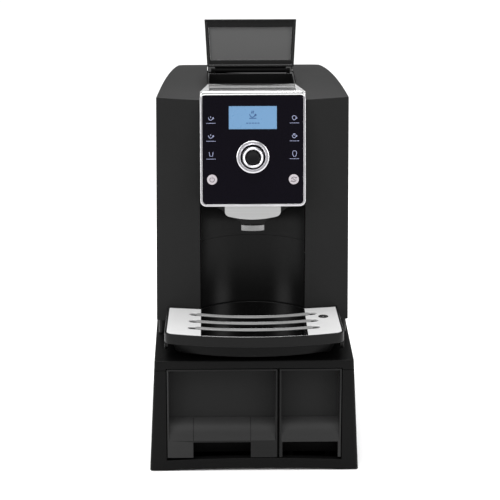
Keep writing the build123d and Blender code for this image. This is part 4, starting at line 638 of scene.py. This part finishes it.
def iconStrokes():
    strokes = []
    wide = iconSettings["across"]
    for side in (-1, 1):
        for row, up in enumerate(iconSettings["rows"]):
            right = side * wide
            strokes += captionDashes(right, up - iconSettings["capDrop"])
            if row < 2:
                strokes += bowl(right, up - 0.8, 3.4 - 0.4 * (side > 0), 2.3)
            if side < 0 and row < 2:
                strokes.append([(right - 0.6, up + 0.6), (right - 0.6, up + 3.4)])
            if side > 0 and row == 0:
                strokes.append(arcPoints(right - 0.6, up + 1.5, 3.0, 2.2, 0, 180, 10))
            if side > 0 and row == 1:
                strokes.append(arcPoints(right - 0.6, up + 2.6, 1.4, 1.2, 0, 360, 12))
            if side < 0 and row == 2:
                strokes.append([(right - 3.0, up + 3.4), (right - 2.1, up - 3.2),
                                (right + 2.1, up - 3.2), (right + 3.0, up + 3.4)])
            if side > 0 and row == 2:
                strokes.append([(right - 2.7, up + 3.4), (right - 3.3, up + 0.6),
                                (right - 1.6, up - 4.0), (right + 1.6, up - 4.0),
                                (right + 3.3, up + 0.6), (right + 2.7, up + 3.4)])
                strokes.append(arcPoints(right, up + 3.4, 2.7, 1.5, 0, 180, 8))
    return strokes


displaySettings = {"up": 49.3, "stroke": 1.15, "barDrop": 8.6, "barWidth": 22.0, "barPieces": 5,
                   "depth": -0.8, "cupRise": 3.0, "barGap": 0.6}
signSettings = {"across": 64.0, "up": -47.6, "stroke": 0.95, "rise": 1.2}


def buildPrint():
    place = panelPlace(0, 0)
    drawStrokes("panelIcons", iconStrokes(), place, iconSettings["stroke"],
                iconSettings["printDepth"], "printGrey", "machine", "print_grey", "panel_icons")
    up = displaySettings["up"] + displaySettings["cupRise"]
    picture = bowl(0, up, 4.2, 2.6)
    picture += [[(-5.6, up - 4.0), (5.6, up - 4.0)]]
    for right in (-1.4, 0.9):
        picture.append([(right, up + 3.4), (right - 0.9, up + 4.8), (right + 0.5, up + 6.2),
                        (right, up + 7.6)])
    step = displaySettings["barWidth"] / displaySettings["barPieces"]
    gap = displaySettings["barGap"]
    for index in range(displaySettings["barPieces"]):
        left = step * index - displaySettings["barWidth"] / 2
        level = displaySettings["up"] - displaySettings["barDrop"]
        picture.append([(left + gap, level), (left + step - gap, level)])
    drawStrokes("displayPicture", picture, place, displaySettings["stroke"],
                displaySettings["depth"], "displayInk", "machine", "display_blue")
    across, level = signSettings["across"], signSettings["up"]
    power = [arcPoints(-across, level, 3.6, 3.6, 118, 422, 24),
             [(-across, level + 1.0), (-across, level + 5.0)]]
    drawStrokes("powerSign", power, place, signSettings["stroke"], signSettings["rise"],
                "symbolGrey", "power", "button_white")
    rinse = [arcPoints(across, level, 3.7, 3.7, 30, 170, 12),
             arcPoints(across, level, 3.7, 3.7, 210, 350, 12),
             [(across - 1.8, level + 1.6), (across + 1.8, level - 1.6)],
             [(across + 3.2, level + 1.9), (across + 4.6, level + 3.4)],
             [(across - 3.2, level - 1.9), (across - 4.6, level - 3.4)]]
    drawStrokes("rinseSign", rinse, place, signSettings["stroke"], signSettings["rise"],
                "symbolGrey", "rinse", "button_white")


buildKnob()
buildPrint()
print("control panel drawn")


coverSettings = {"rollHalf": 82.0, "rollHeight": 6.2, "rollOut": 1.8, "rollDrop": 0.1,
                 "rollBack": -2.0, "rollSteps": 8, "endRadius": 9.0, "cornerFall": 0.55,
                 "coverEdge": 0.5, "thinEdge": 0.3}


def sweepAcross(name, profile, xs, material, body, slot, *replaced):
    # profile(x) gives places in metres; its rows are joined from left to right
    work = bmesh.new()
    rows = [[work.verts.new(spot) for spot in profile(x)] for x in xs]
    for left, right in zip(rows, rows[1:]):
        for index in range(len(left)):
            after = (index + 1) % len(left)
            work.faces.new((left[index], left[after], right[after], right[index]))
    for row in (rows[0], rows[-1]):
        work.faces.new(row)
    bmesh.ops.recalc_face_normals(work, faces=work.faces)
    return newPiece(name, shaded(work, name), material, body, slot, *replaced)


def buildTopCover():
    # the cover's streaked dark and bright tone is a painted reflection
    softCopy("topCover", "head_top_cover", coverSettings["coverEdge"], "topSteel")
    halfHeight = (bezelHigh.z - bezelLow.z) / 2 / math.cos(panelLean) / mm
    top = halfHeight - coverSettings["rollDrop"]
    back = coverSettings["rollBack"]
    size = coverSettings["rollHeight"]
    xs = [coverSettings["rollHalf"] * math.sin(math.radians(angle)) for angle in range(-90, 91, 3)]

    def profile(x):
        # the roll thins to nothing round the panel's corners
        corner = coverSettings["endRadius"]
        inset = max(0.0, abs(x) - coverSettings["rollHalf"] + corner)
        drop = corner - math.sqrt(max(corner ** 2 - inset ** 2, 0.0))
        high = top - drop * coverSettings["cornerFall"]
        spots = [onPanel(x, high, back)]
        reach = coverSettings["rollOut"] * (1 - drop / corner)
        for step in range(coverSettings["rollSteps"] + 1):
            angle = math.radians(90 - 180 * step / coverSettings["rollSteps"])
            spots.append(onPanel(x, high - size / 2 + size / 2 * math.sin(angle),
                                 reach * max(math.cos(angle), 0.0)))
        spots.append(onPanel(x, high - size, back))
        return spots

    sweepAcross("rolledEdge", profile, xs, "edgeSteel", "machine", "top_steel")


buildTopCover()
for name, node in (("spoutCover", "spout_cover"), ("panelBezel", "panel_bezel")):
    softCopy(name, node, coverSettings["thinEdge"])


seamSettings = {"lipTop": 81.0, "lipLow": 51.0, "faceDepth": 25.0, "xs": (-95.8, -5.7), "width": 0.7,
                "proud": 0.06, "steps": 16}


def buildLipSeams():
    # shut lines where the middle of the left lip meets its end blocks
    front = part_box("grounds_drawer_front")[0].y
    work = bmesh.new()
    rise = seamSettings["lipTop"] - seamSettings["lipLow"]
    radius = (seamSettings["faceDepth"] ** 2 + rise ** 2) / (2 * seamSettings["faceDepth"])
    sweep = math.asin(rise / radius)
    for x in seamSettings["xs"]:
        rows = []
        for step in range(seamSettings["steps"] + 1):
            angle = sweep * step / seamSettings["steps"]
            reach = radius + seamSettings["proud"]
            spot = Vector((x * mm, front + (radius - reach * math.cos(angle)) * mm,
                           (seamSettings["lipLow"] + reach * math.sin(angle)) * mm))
            rows.append([work.verts.new(spot + Vector((side * seamSettings["width"] / 2 * mm, 0, 0)))
                         for side in (-1, 1)])
        for low, high in zip(rows, rows[1:]):
            work.faces.new((low[0], low[1], high[1], high[0]))
    newPiece("lipSeams", shaded(work, "lipSeams"), "deepBlack", "grounds_drawer", "drawer_black")


buildLipSeams()


def growTree(name, inputs):
    return newTree(name, "GeometryNodeTree", [("Geometry", "Geometry", None)] + inputs,
                   [("Geometry", "Geometry")])


def finishTree(tree, geometry):
    solid = put(tree, "GeometryNodeRealizeInstances", {0: geometry}).outputs[0]
    given = next(node for node in tree.nodes if node.bl_idname == "NodeGroupInput").outputs["Finish"]
    painted = put(tree, "GeometryNodeSetMaterial", {"Geometry": solid, "Material": given}).outputs[0]
    put(tree, "NodeGroupOutput", {"Geometry": painted})
    return tree


def grow(name, tree, spots, values, material, body, slot, *replaced):
    # run the tree on a cloud of spots and keep the result as a plain mesh
    seedMesh = bpy.data.meshes.new(name + "Spots")
    seedMesh.from_pydata(spots, [], [])
    seedObject = bpy.data.objects.new(name + "Seed", seedMesh)
    scene.collection.objects.link(seedObject)
    modifier = seedObject.modifiers.new("grow", "NODES")
    modifier.node_group = tree
    given = {**values, "Finish": finish[material]}
    for item in tree.interface.items_tree:
        if item.item_type == "SOCKET" and item.in_out == "INPUT" and item.name in given:
            modifier[item.identifier] = given[item.name]
    shape = seedObject.evaluated_get(bpy.context.evaluated_depsgraph_get())
    mesh = bpy.data.meshes.new_from_object(shape)
    mesh.name = name
    mesh.materials.clear()
    bpy.data.objects.remove(seedObject)
    mesh.polygons.foreach_set("material_index", [0] * len(mesh.polygons))
    mesh.polygons.foreach_set("use_smooth", [True] * len(mesh.polygons))
    mesh.set_sharp_from_angle(angle=math.radians(edgeSettings["grownAngle"]))
    return newPiece(name, mesh, material, body, slot, *replaced)


screwSettings = {"topShare": 0.72, "recessShare": 1.15, "vertices": 32}


def screwTree():
    # a tapered head with a cross recess on each spot, facing the rear
    tree = growTree("crossHeadScrews",
                    [("Head Radius", "Float", 0.0035), ("Head Height", "Float", 0.0012),
                     ("Recess Width", "Float", 0.0008), ("Recess Depth", "Float", 0.0008),
                     ("Finish", "Material", None)])
    given = put(tree, "NodeGroupInput").outputs
    crown = sumUp(tree, given["Head Radius"], screwSettings["topShare"], "MULTIPLY")
    head = put(tree, "GeometryNodeMeshCone",
               {"Vertices": screwSettings["vertices"], "Radius Top": crown,
                "Radius Bottom": given["Head Radius"],
                "Depth": given["Head Height"]}).outputs["Mesh"]
    long = sumUp(tree, given["Head Radius"], screwSettings["recessShare"], "MULTIPLY")
    cuts = []
    for first, second in ((long, given["Recess Width"]), (given["Recess Width"], long)):
        size = put(tree, "ShaderNodeCombineXYZ", {0: first, 1: second, 2: sumUp(
            tree, given["Recess Depth"], 2.0, "MULTIPLY")}).outputs[0]
        cut = put(tree, "GeometryNodeMeshCube", {"Size": size}).outputs["Mesh"]
        lift = put(tree, "ShaderNodeCombineXYZ", {2: given["Head Height"]}).outputs[0]
        cuts.append(put(tree, "GeometryNodeTransform",
                        {"Geometry": cut, "Translation": lift}).outputs[0])
    cross = put(tree, "GeometryNodeMeshBoolean", {"Mesh 1": head, "Mesh 2": cuts[0]},
                operation="DIFFERENCE")
    cross = put(tree, "GeometryNodeMeshBoolean", {"Mesh 1": cross.outputs[0], "Mesh 2": cuts[1]},
                operation="DIFFERENCE")
    points = put(tree, "GeometryNodeMeshToPoints", {"Mesh": given["Geometry"]}).outputs[0]
    stood = put(tree, "GeometryNodeInstanceOnPoints",
                {"Points": points, "Instance": cross.outputs[0],
                 "Rotation": (-math.pi / 2, 0.0, 0.0)}).outputs[0]
    return finishTree(tree, stood)


def hoodTree():
    # a half-round hood on each spot
    tree = growTree("louvreHoods",
                    [("Hood Length", "Float", 0.06), ("Hood Radius", "Float", 0.0022),
                     ("Finish", "Material", None)])
    given = put(tree, "NodeGroupInput").outputs
    half = sumUp(tree, given["Hood Length"], 0.5, "MULTIPLY")
    start = put(tree, "ShaderNodeCombineXYZ", {0: sumUp(tree, half, -1.0, "MULTIPLY")}).outputs[0]
    end = put(tree, "ShaderNodeCombineXYZ", {0: half}).outputs[0]
    line = put(tree, "GeometryNodeCurvePrimitiveLine", {"Start": start, "End": end}).outputs[0]
    arc = put(tree, "GeometryNodeCurveArc",
              {"Resolution": 12, "Radius": given["Hood Radius"], "Start Angle": 0.0,
               "Sweep Angle": math.pi, "Connect Center": False, "Invert Arc": False}).outputs[0]
    closed = put(tree, "GeometryNodeSetSplineCyclic", {0: arc, "Cyclic": True}).outputs[0]
    bar = put(tree, "GeometryNodeCurveToMesh", {"Curve": line, "Profile Curve": closed,
                                                "Fill Caps": True}).outputs[0]
    points = put(tree, "GeometryNodeMeshToPoints", {"Mesh": given["Geometry"]}).outputs[0]
    stood = put(tree, "GeometryNodeInstanceOnPoints", {"Points": points, "Instance": bar}).outputs[0]
    return finishTree(tree, stood)


def threadTree():
    # a helix of round ridge along the rod from the seed spot
    tree = growTree("screwThread", [("Turns", "Float", 27.0), ("Radius", "Float", 0.004),
                                    ("Length", "Float", 0.108), ("Ridge", "Float", 0.0007),
                                    ("Finish", "Material", None)])
    given = put(tree, "NodeGroupInput").outputs
    helix = put(tree, "GeometryNodeCurveSpiral", {"Resolution": 20, "Rotations": given["Turns"],
                                                  "Start Radius": given["Radius"],
                                                  "End Radius": given["Radius"],
                                                  "Height": given["Length"]}).outputs[0]
    ridge = put(tree, "GeometryNodeCurvePrimitiveCircle",
                {"Resolution": 6, "Radius": given["Ridge"]}).outputs[0]
    thread = put(tree, "GeometryNodeCurveToMesh", {"Curve": helix, "Profile Curve": ridge,
                                                   "Fill Caps": True}).outputs[0]
    points = put(tree, "GeometryNodeMeshToPoints", {"Mesh": given["Geometry"]}).outputs[0]
    stood = put(tree, "GeometryNodeInstanceOnPoints",
                {"Points": points, "Instance": thread}).outputs[0]
    return finishTree(tree, stood)


rearSettings = {"screwX": 88.0, "screwHeights": (230.0, 380.0, 540.0), "headSink": 0.1,
                "louvreX": 40.0, "louvreMiddle": 470.0, "louvreCount": 9, "louvrePitch": 9.0,
                "louvreRise": 0.9, "louvreSink": 0.4, "headHalf": 0.6}
threadSettings = {"lead": 4.0, "foot": 6.0, "head": 10.0}


def buildRepeats():
    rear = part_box("rear_panel")[1].y
    sink = (rearSettings["headSink"] + rearSettings["headHalf"]) * mm
    spots = [(side * rearSettings["screwX"] * mm, rear - sink, height * mm)
             for side in (-1, 1) for height in rearSettings["screwHeights"]]
    grow("rearScrews", screwTree(), spots, {}, "steel", "machine", "steel", "panel_screws")
    middle = (rearSettings["louvreCount"] - 1) / 2
    lowest = (rearSettings["louvreMiddle"] + rearSettings["louvreRise"]
              - middle * rearSettings["louvrePitch"])
    spots = [(side * rearSettings["louvreX"] * mm, rear - rearSettings["louvreSink"] * mm,
              (lowest + index * rearSettings["louvrePitch"]) * mm)
             for side in (-1, 1) for index in range(rearSettings["louvreCount"])]
    grow("louvreHoods", hoodTree(), spots, {}, "casingBlack", "machine", "casing_black")
    low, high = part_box("brew_screw")
    length = high.z - low.z - (threadSettings["foot"] + threadSettings["head"]) * mm
    spot = ((low.x + high.x) / 2, (low.y + high.y) / 2, low.z + threadSettings["foot"] * mm)
    sizes = {"Length": length, "Turns": length / mm / threadSettings["lead"],
             "Radius": (high.x - low.x) / 2}
    grow("screwThread", threadTree(), [spot], sizes, "steel", "screw", "steel")


buildRepeats()
print("repeated pieces grown")


stageSettings = {"floorHalf": 6.0, "floorTone": 0.86, "floorPatch": 0.02, "worldStrength": 0.35,
                 "sunStrength": 3.0, "sunSpread": 50.0, "sunTilt": (18.0, -8.0)}


def buildStage():
    floorMesh = bpy.data.meshes.new("studioFloor")
    half = stageSettings["floorHalf"]
    floorMesh.from_pydata([(-half, -half, 0), (half, -half, 0), (half, half, 0), (-half, half, 0)],
                          [], [(0, 1, 2, 3)])
    floor = bpy.data.objects.new("studioFloor", floorMesh)
    scene.collection.objects.link(floor)
    tone = stageSettings["floorTone"]
    paper = makeMaterial("studioPaper", plastic(tone, tone + stageSettings["floorPatch"], 0.9,
                                                grain=200.0, bump=0.0))
    floorMesh.materials.append(paper)

    world = bpy.data.worlds.new("studioAir")
    scene.world = world
    world.use_nodes = True
    tree = world.node_tree
    tree.nodes.clear()
    lit = put(tree, "ShaderNodeBackground",
              {"Color": grey(1.0), "Strength": stageSettings["worldStrength"]})
    seen = put(tree, "ShaderNodeBackground", {"Color": grey(1.0), "Strength": 1.0})
    direct = put(tree, "ShaderNodeLightPath").outputs["Is Camera Ray"]
    mix = put(tree, "ShaderNodeMixShader", {0: direct, 1: lit.outputs[0], 2: seen.outputs[0]})
    put(tree, "ShaderNodeOutputWorld", {0: mix.outputs[0]})

    sun = bpy.data.lights.new("overheadSky", "SUN")
    sun.energy = stageSettings["sunStrength"]
    sun.angle = math.radians(stageSettings["sunSpread"])
    sunObject = bpy.data.objects.new("overheadSky", sun)
    tiltX, tiltY = stageSettings["sunTilt"]
    sunObject.rotation_euler = (math.radians(tiltX), math.radians(tiltY), 0)
    scene.collection.objects.link(sunObject)


softboxes = {  # place, aim, width and height in metres, watts
    "leftSoftbox": ((-1.9, -1.5, 1.2), (0, 0, 0.35), 1.0, 1.6, 26.0),
    "rightSoftbox": ((1.9, -1.5, 1.2), (0, 0, 0.35), 1.0, 1.6, 26.0),
    "topSoftbox": ((0.0, 0.5, 2.2), (0, 0, 0.45), 1.4, 0.9, 22.0),
    "backSoftbox": ((0.05, 1.5, 2.1), (0, 0, 0.55), 0.5, 0.7, 14.0),
}


def buildSoftboxes():
    for name, (place, aim, width, height, power) in softboxes.items():
        light = bpy.data.lights.new(name, "AREA")
        light.shape = "RECTANGLE"
        light.size, light.size_y, light.energy = width, height, power
        box = bpy.data.objects.new(name, light)
        box.location = place
        box.rotation_euler = (Vector(aim) - Vector(place)).to_track_quat("-Z", "Y").to_euler()
        scene.collection.objects.link(box)


cameraSettings = {"target": (-0.0026, 0.0, 0.3067), "distance": 3.3777, "azimuth": -1.2,
                  "elevation": 16.5, "lens": 149.04, "sensor": 36.0}


def buildCamera():
    data = bpy.data.cameras.new("camera")
    data.lens, data.sensor_width = cameraSettings["lens"], cameraSettings["sensor"]
    data.clip_start, data.clip_end = 0.05, 60.0
    camera = bpy.data.objects.new("camera", data)
    turn, rise = (math.radians(cameraSettings[key]) for key in ("azimuth", "elevation"))
    back = Vector((math.sin(turn) * math.cos(rise), -math.cos(turn) * math.cos(rise),
                   math.sin(rise)))
    camera.location = Vector(cameraSettings["target"]) + back * cameraSettings["distance"]
    camera.rotation_euler = (-back).to_track_quat("-Z", "Y").to_euler()
    scene.collection.objects.link(camera)
    scene.camera = camera


buildStage()
buildSoftboxes()
buildCamera()
scene.view_settings.view_transform = "Standard"
print("stage, lights and camera set")
